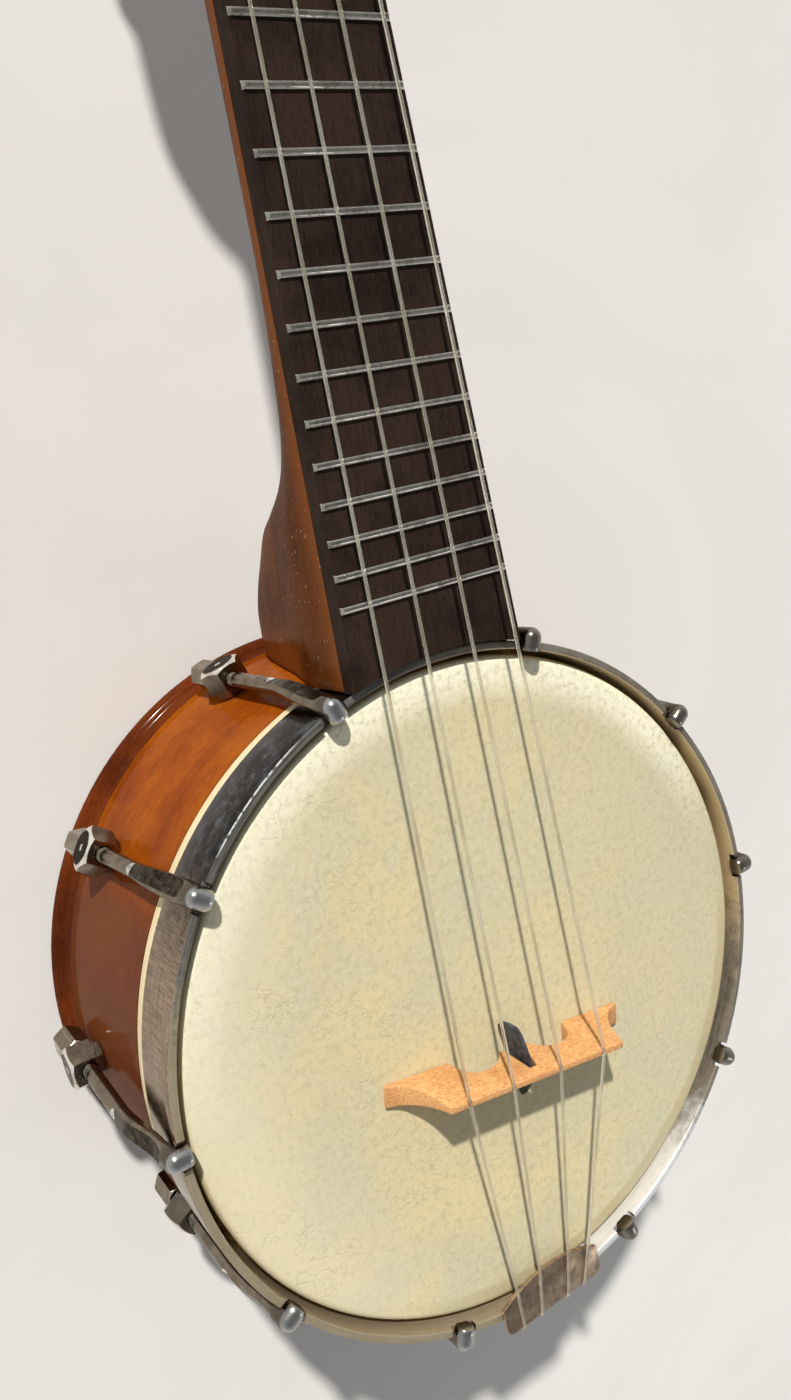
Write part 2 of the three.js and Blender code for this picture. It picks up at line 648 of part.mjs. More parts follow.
// Dowel stick: runs from the heel's mortise across the pot to the far wall
function dowelStick() {
  const half = DOWEL_WIDTH / 2;
  const rise = DOWEL_HEIGHT / 2;
  const reach = Math.abs(TAIL_X) + half;
  const end = -Math.sqrt(RIM_INNER ** 2 - reach ** 2) + FIT;
  const stick = block(vec(-half, end, DOWEL_Z - rise), vec(half, NECK_START + MORTISE_DEPTH, DOWEL_Z + rise));
  const hole = barAlong(BOLT_RADIUS + FIT, end - OVER, end + BLIND_DEPTH);
  return cut(stick, hole.translate([TAIL_X, 0, DOWEL_Z]));
}

// Fretboard with its frets seated in it
function fretboard() {
  const low = NECK_TOP + FIT;
  const end = STRING_NUT_Y - FIT;
  const near = neckHalfWidth(RIM_INNER);
  const far = neckHalfWidth(end);
  const board = pulled(
    [
      [-near, RIM_INNER],
      [near, RIM_INNER],
      [far, end],
      [-far, end],
    ],
    low,
    BOARD_TOP,
  );
  const wires = [];
  for (let k = 1; k <= FRET_COUNT; k += 1) {
    const y = STRING_NUT_Y - SCALE_LENGTH * (1 - 2 ** (-k / 12));
    const half = neckHalfWidth(y + FRET_WIDTH) - FRET_INSET;
    const crown = [
      [y - FRET_WIDTH / 2, BOARD_TOP - FRET_HEIGHT],
      [y + FRET_WIDTH / 2, BOARD_TOP - FRET_HEIGHT],
      [y + FRET_WIDTH / 2, BOARD_TOP + FRET_HEIGHT * 0.4],
      [y + FRET_WIDTH * 0.2, BOARD_TOP + FRET_HEIGHT],
      [y - FRET_WIDTH * 0.2, BOARD_TOP + FRET_HEIGHT],
      [y - FRET_WIDTH / 2, BOARD_TOP + FRET_HEIGHT * 0.4],
    ];
    wires.push(pulledAcross(crown, -half, half));
  }
  const pot = barUp(NECK_START, -OVER, HOOP_TOP + BOARD_THICK + OVER, RING_SIDES);
  return cut(joined(board, ...wires), pot);
}

const nutPlace = (k) => (NUT_SPREAD * (k - 1.5)) / 3;

// String nut: a low bone block across the end of the fretboard, with a slot for each string
function stringNut() {
  const low = NECK_TOP + FIT;
  const top = BOARD_TOP + STRING_NUT_RISE;
  const profile = [
    [STRING_NUT_Y, low],
    [HEAD_START - FIT, low],
    [HEAD_START - FIT, BOARD_TOP],
    [STRING_NUT_Y + STRING_NUT_LENGTH * 0.3, top],
    [STRING_NUT_Y, top],
  ];
  const body = pulledAcross(profile, -NUT_HALF_WIDTH, NUT_HALF_WIDTH);
  const wide = STRING_RADIUS + FIT;
  const slots = [0, 1, 2, 3].map((k) =>
    block(
      vec(nutPlace(k) - wide, STRING_NUT_Y - OVER, top - SLOT_DEPTH),
      vec(nutPlace(k) + wide, HEAD_START + OVER, top + OVER),
    ),
  );
  return cut(body, ...slots);
}

// Bridge outline along its length and height: two feet, two arches and a split middle leg
function bridge() {
  const half = BRIDGE_LENGTH / 2;
  const top = BRIDGE_TOP_LENGTH / 2;
  const footIn = half - FOOT_LENGTH;
  const span = footIn - LEG_HALF_WIDTH;
  const right = [
    [SLOT_HALF_WIDTH, BRIDGE_SLOT_HEIGHT],
    [SLOT_MOUTH_HALF_WIDTH, LEG_TIP_HEIGHT],
    [LEG_HALF_WIDTH, LEG_TIP_HEIGHT],
    [LEG_HALF_WIDTH + span * 0.14, ARCH_HEIGHT * 0.76],
    [LEG_HALF_WIDTH + span * 0.36, ARCH_HEIGHT],
    [LEG_HALF_WIDTH + span * 0.64, ARCH_HEIGHT],
    [LEG_HALF_WIDTH + span * 0.88, ARCH_HEIGHT * 0.7],
    [footIn, 0],
    [half, 0],
    [half - (half - top) * 0.35, BRIDGE_HEIGHT * 0.14],
    [half - (half - top) * 0.62, BRIDGE_HEIGHT * 0.32],
    [half - (half - top) * 0.82, BRIDGE_HEIGHT * 0.55],
    [half - (half - top) * 0.93, BRIDGE_HEIGHT * 0.78],
    [top, BRIDGE_HEIGHT],
  ];
  const left = right.map(([x, z]) => [-x, z]).reverse();
  const blank = pulledAlong([...right, ...left], -BRIDGE_FOOT_THICK, BRIDGE_FOOT_THICK);
  const back = -BRIDGE_FOOT_THICK / 2;
  const topBack = back + BRIDGE_BACK_LEAN;
  const wedge = pulledAcross(
    [
      [back, 0],
      [-back, 0],
      [topBack + BRIDGE_TOP_THICK, BRIDGE_HEIGHT],
      [topBack, BRIDGE_HEIGHT],
    ],
    -BRIDGE_LENGTH,
    BRIDGE_LENGTH,
  );
  const wide = STRING_RADIUS + FIT;
  const slots = STRING_PLACES.map((x) =>
    block(
      vec(x - wide, -BRIDGE_FOOT_THICK, BRIDGE_HEIGHT - SLOT_DEPTH),
      vec(x + wide, BRIDGE_FOOT_THICK, BRIDGE_HEIGHT + OVER),
    ),
  );
  return cut(blank.intersect(wedge), ...slots);
}

// Outline of the dark plate in shares of its length and height
const PLATE_SHARES = [
  [0.37, 0],
  [0.433, 0.22],
  [0.465, 0.55],
  [0.457, 0.86],
  [0.386, 0.945],
  [0.197, 1],
  [0, 0.96],
  [-0.157, 0.83],
  [-0.315, 0.61],
  [-0.472, 0.28],
  [-0.535, 0.08],
  [-0.512, 0],
];

function plate() {
  const outline = PLATE_SHARES.map(([y, z]) => [PLATE_LENGTH * y, PLATE_LIFT + PLATE_HEIGHT * z]);
  const flat = pulledAcross(outline, -PLATE_THICK / 2, PLATE_THICK / 2);
  return flat.rotate([0, 0, PLATE_TURN]).translate([-PLATE_SHIFT, 0, 0]);
}

// The arch's distance along Y at a share of the tailpiece's half width
function archAt(share) {
  const crown = TAIL_CROWN_IN - HOOP_RADIUS;
  const shoulder = TAIL_SHOULDER_IN - HOOP_RADIUS;
  return crown + (shoulder - crown) * share * share;
}

// Tailpiece: an arched face over the hoop, an apron bent down outside it and a strap to the bolt
function tailpiece() {
  const out = TAIL_Y - TAIL_THICK;
  const arch = [1, 0.75, 0.5, 0.25, 0, -0.25, -0.5, -0.75, -1].map((x) => [TAIL_HALF_WIDTH * x, archAt(x)]);
  const corners = [
    [-TAIL_HALF_WIDTH, out + TAIL_CORNER],
    [-TAIL_HALF_WIDTH + TAIL_CORNER, out],
    [TAIL_HALF_WIDTH - TAIL_CORNER, out],
    [TAIL_HALF_WIDTH, out + TAIL_CORNER],
  ];
  const face = pulled([...arch, ...corners], TAIL_UNDER, TAIL_TOP);
  const apronHalf = TAIL_HALF_WIDTH - TAIL_CORNER;
  const apron = block(vec(-apronHalf, out, TAIL_TOP - TAIL_APRON), vec(apronHalf, TAIL_Y, TAIL_TOP));
  const strap = block(
    vec(-STRAP_WIDTH / 2, out, DOWEL_Z - STRAP_BELOW_BOLT),
    vec(STRAP_WIDTH / 2, TAIL_Y, TAIL_TOP - TAIL_THICK),
  );
  const boltHole = barAlong(BOLT_RADIUS + FIT, out - OVER, TAIL_Y + OVER).translate([0, 0, DOWEL_Z]);
  return cut(joined(face, apron, strap), boltHole).translate([TAIL_X, 0, 0]);
}

function endBolt() {
  const seat = TAIL_Y - TAIL_THICK - FIT;
  const reach = Math.abs(TAIL_X) + DOWEL_WIDTH / 2;
  const inner = -Math.sqrt(RIM_INNER ** 2 - reach ** 2) + BLIND_DEPTH - FIT;
  const shank = barAlong(BOLT_RADIUS, seat, inner);
  const head = barAlong(BOLT_HEAD_RADIUS, seat - BOLT_HEAD_THICK, seat, 6);
  return joined(shank, head).translate([TAIL_X, 0, DOWEL_Z]);
}

// Where a string crosses the bridge's crest
function bridgePoint(k) {
  const a = radians(BRIDGE_TURN);
  const lift = HEAD_Z + FIT + BRIDGE_HEIGHT - SLOT_DEPTH + FIT + STRING_RADIUS;
  const back = -BRIDGE_FOOT_THICK / 2 + BRIDGE_BACK_LEAN + BRIDGE_TOP_THICK / 2;
  const x = STRING_PLACES[k] * Math.cos(a) - back * Math.sin(a);
  const y = STRING_PLACES[k] * Math.sin(a) + back * Math.cos(a);
  return vec(BRIDGE_X + x, BRIDGE_Y + y, lift);
}

// Where a string touches the side of its peg's post
function postPoint(k) {
  const [x, y] = PEG_PLACES[k];
  const a = radians(HEAD_TILT);
  const inward = x - Math.sign(x) * (POST_WAIST + FIT + STRING_RADIUS);
  const along = y * Math.cos(a) + STRING_AT_POST * Math.sin(a);
  return vec(inward, HEAD_START + along, NECK_TOP - y * Math.sin(a) + STRING_AT_POST * Math.cos(a));
}

// A string from its peg over the string nut and the bridge to a knot below the tailpiece's edge
function stringLine(k) {
  const archX = TAIL_ARCH_PLACES[k];
  const edgeX = TAIL_X + TAIL_EDGE_PLACES[k];
  const lift = TAIL_TOP + FIT + STRING_RADIUS;
  const edge = TAIL_Y - TAIL_THICK - FIT - STRING_RADIUS;
  const line = [
    postPoint(k),
    vec(nutPlace(k), HEAD_START - STRING_NUT_LENGTH / 2, NUT_STRING_Z),
    vec(nutPlace(k), STRING_NUT_Y, NUT_STRING_Z),
    bridgePoint(k),
    vec(TAIL_X + archX, archAt(archX / TAIL_HALF_WIDTH) + STRING_RADIUS, lift),
    vec(edgeX, edge + FIT, lift),
    vec(edgeX, edge - STRING_RADIUS / 2, lift - STRING_RADIUS),
    vec(edgeX, edge - STRING_RADIUS, lift - KNOT_DROP),
  ];
  const knot = ball(KNOT_RADIUS, vec(edgeX, edge - KNOT_RADIUS + STRING_RADIUS, lift - KNOT_DROP), 8);
  return joined(strand(line, STRING_RADIUS, 6), knot);
}

// Tuning peg: a waisted post above the headstock and a shank down through it
function peg() {
  const under = -HEAD_THICK - PEG_TAIL - BUTTON_STEM;
  const profile = [
    [0, under],
    [PEG_RADIUS, under],
    [PEG_RADIUS, STRING_AT_POST - 2 * STRING_RADIUS],
    [POST_WAIST, STRING_AT_POST - STRING_RADIUS],
    [POST_WAIST, STRING_AT_POST + STRING_RADIUS],
    [PEG_RADIUS, STRING_AT_POST + 2 * STRING_RADIUS],
    [PEG_RADIUS, POST_HEIGHT - FIT],
    [PEG_RADIUS - FIT, POST_HEIGHT],
    [0, POST_HEIGHT],
  ];
  return turned(profile, ROUND_SIDES);
}

function pegCollar() {
  return cut(
    barUp(COLLAR_RADIUS, FIT, FIT + COLLAR_THICK, ROUND_SIDES),
    barUp(PEG_RADIUS + FIT, -OVER, COLLAR_THICK + OVER, ROUND_SIDES),
  );
}

// Peg button: a flat oval wing on a round stem that sleeves the shank
function pegButton() {
  const top = -HEAD_THICK - FIT - COLLAR_THICK;
  const shank = -HEAD_THICK - PEG_TAIL - BUTTON_STEM;
  const stem = barUp(BUTTON_STEM_RADIUS, shank - BUTTON_STEM, top);
  const wing = [];
  for (let i = 0; i < ROUND_SIDES; i += 1) {
    const a = (2 * Math.PI * i) / ROUND_SIDES;
    const wide = (BUTTON_WIDTH / 2) * Math.cos(a);
    wing.push([wide, top - BUTTON_LENGTH / 2 - BUTTON_STEM + (BUTTON_LENGTH / 2) * Math.sin(a)]);
  }
  const paddle = pulledAlong(wing, -BUTTON_THICK / 2, BUTTON_THICK / 2);
  const hole = barUp(PEG_RADIUS + FIT, shank - FIT, OVER);
  return cut(joined(stem, paddle), hole);
}

// The pot
piece("rim", rim(), stainedWood);
piece("back_plate", backPlate(), stainedWood);
piece("flesh_hoop", fleshHoop(), brassWire);
piece("head_skin", headSkin(), skin);
piece("tension_hoop", tensionHoop(), nickel);

// Ten brackets round the pot
const atShoe = (solid) => geometryOf(solid.translate([0, 0, -SHOE_Z]));
const hookShape = atShoe(hook());
const shoeShape = atShoe(shoe());
const nutShape = atShoe(bracketNut());
SHOE_ANGLES.forEach((angle, k) => {
  const group = bracketGroup(angle, HOOK_LEANS[k]);
  piece("hook_" + (k + 1), hookShape, nickel, group);
  piece("bracket_shoe_" + (k + 1), shoeShape, nickel, group);
  piece("bracket_nut_" + (k + 1), nutShape, nickel, group);
});

// Neck, fretboard and the stick that holds the neck to the pot
piece("neck", neck(), neckWood);
piece("fretboard", fretboard(), ebony);
piece("string_nut", stringNut(), bone);
piece("dowel_stick", dowelStick(), innerWood);
piece("tailpiece", tailpiece(), nickel);
piece("end_bolt", endBolt(), nickel);

// Bridge and the dark plate in its slot
const bridgeGroup = new THREE.Group();
bridgeGroup.position.set(BRIDGE_X, BRIDGE_Y, HEAD_Z + FIT);
bridgeGroup.rotation.z = radians(BRIDGE_TURN);
instrument.add(bridgeGroup);
piece("bridge", bridge(), maple, bridgeGroup);
piece("slot_plate", plate(), darkPlate, bridgeGroup);

// Tuning pegs on the headstock
const headGroup = new THREE.Group();
headGroup.position.set(0, HEAD_START, NECK_TOP);
headGroup.rotation.x = radians(-HEAD_TILT);
instrument.add(headGroup);
const pegShape = geometryOf(peg());
const collarShape = geometryOf(pegCollar());
const buttonShape = geometryOf(pegButton());
PEG_PLACES.forEach(([x, y], k) => {
  const spot = new THREE.Group();
  spot.position.set(x, y, 0);
  headGroup.add(spot);
  piece("tuning_peg_" + (k + 1), pegShape, nickel, spot);
  piece("peg_collar_" + (k + 1), collarShape, nickel, spot);
  piece("peg_button_" + (k + 1), buttonShape, buttonPlastic, spot);
});

// Strings, from the bass side to the treble side
for (let k = 0; k < 4; k += 1) piece("string_" + (k + 1), stringLine(k), nylon);

export default instrument;
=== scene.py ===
import math

import bmesh
import bpy
from mathutils import Matrix, Vector


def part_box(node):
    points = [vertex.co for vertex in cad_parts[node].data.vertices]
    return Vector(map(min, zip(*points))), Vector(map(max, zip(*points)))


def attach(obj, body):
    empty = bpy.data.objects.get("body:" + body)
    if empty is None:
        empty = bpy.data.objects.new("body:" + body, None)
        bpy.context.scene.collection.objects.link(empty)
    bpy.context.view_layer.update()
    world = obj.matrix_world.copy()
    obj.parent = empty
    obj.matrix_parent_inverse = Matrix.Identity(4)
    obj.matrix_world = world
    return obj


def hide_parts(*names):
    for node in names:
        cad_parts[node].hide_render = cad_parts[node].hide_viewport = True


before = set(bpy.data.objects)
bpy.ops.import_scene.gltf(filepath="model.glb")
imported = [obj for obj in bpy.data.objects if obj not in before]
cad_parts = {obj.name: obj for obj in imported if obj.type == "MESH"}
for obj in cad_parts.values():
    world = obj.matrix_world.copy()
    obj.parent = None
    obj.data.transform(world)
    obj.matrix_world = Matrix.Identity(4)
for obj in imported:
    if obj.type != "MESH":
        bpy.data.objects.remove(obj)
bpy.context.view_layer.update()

MM = 0.001
RINGS = 240  # sides of the pot's turned pieces

# Sizes from the CAD's boxes
POT_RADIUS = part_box("rim")[1].x / MM
RIM_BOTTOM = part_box("rim")[0].z / MM
RIM_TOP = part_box("rim")[1].z / MM
BACK_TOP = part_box("back_plate")[1].z / MM
LIP_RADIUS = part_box("back_plate")[1].x / MM
HEAD_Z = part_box("head_skin")[1].z / MM
TUCK_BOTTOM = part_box("head_skin")[0].z / MM
HOOP_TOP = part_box("tension_hoop")[1].z / MM
HOOP_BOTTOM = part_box("tension_hoop")[0].z / MM
HOOP_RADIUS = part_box("tension_hoop")[1].x / MM
STRING_NUT_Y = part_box("string_nut")[0].y / MM

# Sizes of the pot
FIT = 0.3
RIM_WALL = 8.4
RIM_INSIDE = POT_RADIUS - RIM_WALL
EDGE_ROUND = 1.3
LIP_THICK = 6
BACK_PANEL = 4
COVE_INSET = 1
SKIN_THICK = 0.6
SKIN_RADIUS = 89
SKIN_ROUND = 2
TUCK_THICK = 0.8
HOOP_THICK = 2.1
HOOP_INSIDE = HOOP_RADIUS - HOOP_THICK
NOTCH_DEPTH = 2
NOTCH_HALF = 3.75
HOOP_DIP = 1  # how much lower the band's worn edge lies by the neck

# Sizes of the brackets, with heights from the shoe's axis
CLAW_ANGLES = [19.8, 52.4, 89.2, 122.9, 158.3, -164.1, -127.3, -89.5, -54.8, -18]
CLAW_LEANS = [-0.75, 2.9, -0.9, 0, 0, 0, 0, 0, 0, 0]
SHOE_Z = HEAD_Z - 57.5
ROD_AXIS = POT_RADIUS + 4.8
ROD_RADIUS = 2.15
ROD_LENGTH = 50
THREAD_PITCH = 0.8
THREAD_DEPTH = 0.3
ARM_LENGTH = 30
ARM_THICK = 3.7
ARM_GAP = 0.5
ARM_NARROW = 2.55
ARM_FACE = HOOP_RADIUS + ARM_GAP
ARM_TOP = HOOP_TOP - SHOE_Z
ARM_LOW = ARM_TOP - ARM_LENGTH
FACET_TILT = 0.2
FACET_TURN = 1.95
CLAW_RADIUS = 2.8
CLAW_PROUD = 3.25
CLAW_REACH = 2.6
SHOE_FLATS = 11
SHOE_BODY = 6.4
SHOE_CHAMFER = 0.9
SHOE_FACE_RADIUS = 4.7
SHOE_BASE = 1.9
SHOE_BASE_FLATS = 8
NUT_FLATS = 7.6
NUT_LENGTH = 12

# Sizes of the neck and headstock
NECK_TOP = HEAD_Z - 1
BOARD_TOP = NECK_TOP + 4.8
HEAD_START = STRING_NUT_Y + 4
NECK_START = POT_RADIUS + 0.6
HEEL_HALF_WIDTH = 25.5
NUT_HALF_WIDTH = 18
NUT_PROUD = 2.2
HEEL_DEPTH = 78
NECK_DEPTH = 19
HEEL_LENGTH = 95
HEAD_LENGTH = 116
HEAD_THICK = 13
HEAD_TILT = 12
HEAD_HALF_WIDTH = 29
SCALE_LENGTH = 340
FRET_COUNT = 17
HEEL_DEPTH_SHARES = [(-0.2, 1), (0, 1), (0.13, 0.98), (0.21, 0.92), (0.29, 0.83), (0.38, 0.71), (0.43, 0.57),
                     (0.485, 0.4), (0.54, 0.29), (0.61, 0.2), (0.72, 0.12), (0.85, 0.05), (1, 0)]
HEEL_WIDTHS = [(0, 1), (0.12, 0.995), (0.25, 0.975), (0.35, 0.89), (0.45, 0.81), (0.54, 0.75), (0.67, 0.675),
               (0.83, 0.556), (0.93, 0.468), (1, 0.36)]
SHAFT_WIDTHS = [(0, 1), (0.12, 0.99), (0.3, 0.94), (0.5, 0.84), (0.7, 0.7), (0.84, 0.5), (0.95, 0.28),
                (1, 0.12)]
SECTION_SHARES = [0, 0.02, 0.06, 0.12, 0.2, 0.3, 0.4, 0.5, 0.6, 0.7, 0.78, 0.84, 0.9, 0.95, 0.985, 1]
HEADSTOCK_SHARES = [(0.98, 0.12), (1, 0.3), (0.9, 0.5), (0.86, 0.62), (0.92, 0.8), (0.84, 0.91),
                    (0.56, 0.965), (0.27, 0.992), (0, 1)]

# Sizes of the bridge and the plate in its slot
BRIDGE_X = -1.6
BRIDGE_Y = -18.3
BRIDGE_TURN = -9.2
BRIDGE_LENGTH = 78
BRIDGE_TOP_LENGTH = 56.6
BRIDGE_HEIGHT = 14.9
BRIDGE_FOOT_LENGTH = 19.8
BRIDGE_FOOT_THICK = 5.8
BRIDGE_TOP_THICK = 1.6
BRIDGE_BACK_LEAN = 0.8
BRIDGE_ARCH_HEIGHT = 6.7
BRIDGE_ARCH_SHARES = [(0.14, 0.76), (0.36, 1), (0.64, 1), (0.88, 0.7), (1, 0)]
BRIDGE_FLANK_SHARES = [(0.35, 0.14), (0.62, 0.32), (0.82, 0.55), (0.93, 0.78), (1, 1)]
PLATE_LENGTH = 25.4
PLATE_HEIGHT = 10.8
PLATE_TURN = 16.5
PLATE_SHARES = [(0.37, 0), (0.433, 0.22), (0.465, 0.55), (0.457, 0.86), (0.386, 0.945), (0.197, 1), (0, 0.96),
                (-0.157, 0.83), (-0.315, 0.61), (-0.472, 0.28), (-0.535, 0.08), (-0.512, 0)]

# Sizes of the tailpiece, strings and pegs
STRING_PLACES = [-22.7, -9, 6.5, 21.5]
STRING_RADIUS = 0.45
STRING_GROOVE = 0.9
NUT_SPREAD = 28.8
TAIL_X = -4.9
TAIL_HALF_WIDTH = 16.9
TAIL_CROWN_IN = 11
TAIL_SHOULDER_IN = 6.6
TAIL_THICK = 1.2
TAIL_CORNER = 2
TAIL_ARCH_PLACES = [-11.8, -3.6, 6.6, 13.6]
TAIL_EDGE_PLACES = [-11.8, -5.4, 4.1, 10.2]
TAIL_Y = -(HOOP_RADIUS + 0.4)
TAIL_OUT = TAIL_Y - TAIL_THICK
TAIL_TOP = HOOP_TOP + ARM_GAP + TAIL_THICK
STRAP_WIDTH = 14
DOWEL_Z = HEAD_Z - 40
PEG_PLACES = [(-17.5, 36), (-17.5, 78), (17.5, 78), (17.5, 36)]
PEG_RADIUS = 3
POST_WAIST = 2.4
STRING_AT_POST = 6
COIL_TURNS = 2.5
COIL_LENGTH = 1.9

# Light and camera
FLOOR_HALF = 4000
HORIZON_LIGHT = 0.64
TOP_LIGHT = 0.18
KEY_WAY = Vector((-6.2, 19.9, 14.9)).normalized()
CARD_WAY = Vector((0.545, -0.588, 0.6)).normalized()
CARD_DISTANCE = 1.6
CAMERA_SPOT = (-0.13704, 0.13791, 0.31062)
CAMERA_AXES = ((0.82906, -0.20227, 0.52129), (0.28100, 0.95672, -0.07567), (-0.48342, 0.20921, 0.85002))

scene = bpy.context.scene


# Small helpers for shapes
def smooth(t):
    t = min(max(t, 0), 1)
    return t * t * (3 - 2 * t)


def evenly(start, end, steps):
    """Evenly spaced values from start to end."""
    return [start + (end - start) * i / steps for i in range(steps + 1)]


def around(count):
    """Evenly spaced angles round a circle."""
    return evenly(0, 2 * math.pi, count)[:-1]


def bulge(value, power):
    """A sine or cosine with its size raised to a power, as rounded squares need it."""
    return math.copysign(abs(value) ** power, value)


def mirrored(half):
    """The other half of an outline or a ring, on its way back from the first half's end."""
    return [(-point[0], *point[1:]) for point in reversed(half)]


def pose(spot, degrees=0, axis="Z"):
    """A turn about an axis and then a move to a spot."""
    return Matrix.Translation(spot) @ Matrix.Rotation(math.radians(degrees), 4, axis)


def table_at(table, x):
    """A value between the rows of a table of (place, value), on a curve without corners."""
    if x <= table[0][0]:
        return table[0][1]
    if x >= table[-1][0]:
        return table[-1][1]
    k = max(i for i, row in enumerate(table) if row[0] <= x)
    rows = [table[min(max(k + d, 0), len(table) - 1)] for d in (-1, 0, 1, 2)]
    (x0, y0), (x1, y1), (x2, y2), (x3, y3) = rows
    m1 = (y2 - y0) / (x2 - x0)
    m2 = (y3 - y1) / (x3 - x1)
    step = x2 - x1
    t = (x - x1) / step
    rise = (2 * t**3 - 3 * t**2 + 1) * y1 + (t**3 - 2 * t**2 + t) * step * m1
    return rise + (3 * t**2 - 2 * t**3) * y2 + (t**3 - t**2) * step * m2


def curve_through(points, steps):
    """Points on a smooth curve through the flat ones given."""
    points = [Vector(p) for p in points]
    ends = [2 * points[0] - points[1], *points, 2 * points[-1] - points[-2]]
    out = []
    for a, b, c, d in zip(ends, ends[1:], ends[2:], ends[3:]):
        bend = 2 * a - 5 * b + 4 * c - d
        twist = 3 * b - a - 3 * c + d
        out += [0.5 * (2 * b + (c - a) * t + bend * t**2 + twist * t**3) for t in evenly(0, 1, steps)[:-1]]
    return [(p.x, p.y) for p in [*out, points[-1]]]


def tidy_mesh(mesh, corner):
    """Outward normals, and smooth shading that stops at corners sharper than the angle given."""
    shape = bmesh.new()
    shape.from_mesh(mesh)
    bmesh.ops.remove_doubles(shape, verts=shape.verts, dist=1e-7)
    bmesh.ops.recalc_face_normals(shape, faces=shape.faces)
    shape.to_mesh(mesh)
    shape.free()
    for face in mesh.polygons:
        face.use_smooth = True
    mesh.set_sharp_from_angle(angle=math.radians(corner))


def new_piece(name, shape, material, corner=35):
    """A piece from a shape, which is a pair of points and faces in millimetres."""
    points, faces = shape
    mesh = bpy.data.meshes.new(name)
    mesh.from_pydata([Vector(p) * MM for p in points], [], faces)
    tidy_mesh(mesh, corner)
    mesh.materials.append(material)
    return place_mesh(name, mesh)


def place_mesh(name, mesh):
    piece = bpy.data.objects.new(name, mesh)
    scene.collection.objects.link(piece)
    return piece


def lathe(profile, sides=RINGS):
    """A body turned round Z from (radius, height) points. It is a ring if the first one lies off the axis."""
    points, faces, rows = [], [], []
    for r, z in profile:
        if r < 1e-6:
            rows.append([len(points)] * sides)
            points.append((0, 0, z))
            continue
        rows.append(list(range(len(points), len(points) + sides)))
        points += [(r * math.cos(a), r * math.sin(a), z) for a in around(sides)]
    pairs = list(zip(rows, rows[1:]))
    if profile[0][0] > 0:
        pairs.append((rows[-1], rows[0]))
    for low, high in pairs:
        for i in range(sides):
            j = (i + 1) % sides
            face = [low[i], low[j], high[j], high[i]]
            face = [v for n, v in enumerate(face) if v != face[n - 1]]
            if len(set(face)) > 2:
                faces.append(face)
    return points, faces


def cylinder(radius, low, high, sides):
    return lathe([(0, low), (radius, low), (radius, high), (0, high)], sides)


def loft(rings, looped=False):
    """A skin over rings of equal count, capped at both ends or looped back to the first ring."""
    count = len(rings[0])
    points = [p for ring in rings for p in ring]
    last = len(points) - count
    faces = []
    for base in range(0, last + (count if looped else 0), count):
        above = (base + count) % len(points)
        for i in range(count):
            j = (i + 1) % count
            faces.append([base + i, base + j, above + j, above + i])
    if not looped:
        faces.append(list(range(count))[::-1])
        faces.append(list(range(last, last + count)))
    return points, faces


def tube(path, radius, sides):
    """A round tube along a path, with rounded-off ends."""
    path = [Vector(p) for p in path]
    last = len(path) - 1
    side = (path[1] - path[0]).normalized().orthogonal().normalized()
    rings = []
    for k, spot in enumerate(path):
        ahead = (path[min(k + 1, last)] - path[max(k - 1, 0)]).normalized()
        side = (side - ahead * side.dot(ahead)).normalized()
        other = ahead.cross(side)
        ring = [spot + (side * math.cos(a) + other * math.sin(a)) * radius for a in around(sides)]
        rings.append(ring)
        if k in (0, last):
            cap = [spot + (p - spot) * 0.6 + ahead * (radius / 2 if k else -radius / 2) for p in ring]
            rings.insert(k and len(rings), cap)
    return loft(rings)


def moved(shape, matrix):
    return [matrix @ Vector(p) for p in shape[0]], shape[1]


def merged(shapes):
    points, faces = [], []
    for some, those in shapes:
        faces += [[v + len(points) for v in face] for face in those]
        points += list(some)
    return points, faces


def prism(outline, low, high, across=False):
    """A flat outline pulled straight: (x, y) points along Z, or (y, z) points across, along X."""
    return loft([[(h, a, b) if across else (a, b, h) for a, b in outline] for h in (low, high)])


def box_shape(low, high):
    (x0, y0, z0), (x1, y1, z1) = low, high
    return prism([(x0, y0), (x1, y0), (x1, y1), (x0, y1)], z0, z1)


def rounded(outline, radius, steps=4):
    """The outline with each of its corners rounded off."""
    out = []
    for k, (x, y) in enumerate(outline):
        here = Vector((x, y))
        before = Vector(outline[k - 1]) - here
        after = Vector(outline[(k + 1) % len(outline)]) - here
        reach = min(radius, before.length * 0.45, after.length * 0.45)
        start = here + before.normalized() * reach
        end = here + after.normalized() * reach
        for t in evenly(0, 1, steps):
            spot = start * (1 - t) ** 2 + here * (2 * t * (1 - t)) + end * t * t
            out.append((spot.x, spot.y))
    return out


def modified(piece, kind, **settings):
    """Adds a modifier and makes its result the piece's own mesh."""
    modifier = piece.modifiers.new(kind.lower(), kind)
    for key, value in settings.items():
        setattr(modifier, key, value)
    mesh = bpy.data.meshes.new_from_object(piece.evaluated_get(bpy.context.evaluated_depsgraph_get()))
    piece.modifiers.clear()
    old = piece.data
    piece.data = mesh
    bpy.data.meshes.remove(old)


def bevelled(piece, width, segments=2, angle=30, corner=35):
    modified(piece, "BEVEL", width=width * MM, segments=segments, limit_method="ANGLE",
             angle_limit=math.radians(angle), use_clamp_overlap=True)
    tidy_mesh(piece.data, corner)


def joined(piece, tool, how):
    """Joins another piece on, cuts it out or keeps what both share, and removes it."""
    modified(piece, "BOOLEAN", object=tool, operation=how, solver="EXACT", material_mode="TRANSFER")
    bpy.data.meshes.remove(tool.data)
    return piece


def carved(piece, shape, how="DIFFERENCE", material=None):
    """Does the same with a plain closed shape."""
    return joined(piece, new_piece("tool", shape, material or piece.data.materials[0]), how)


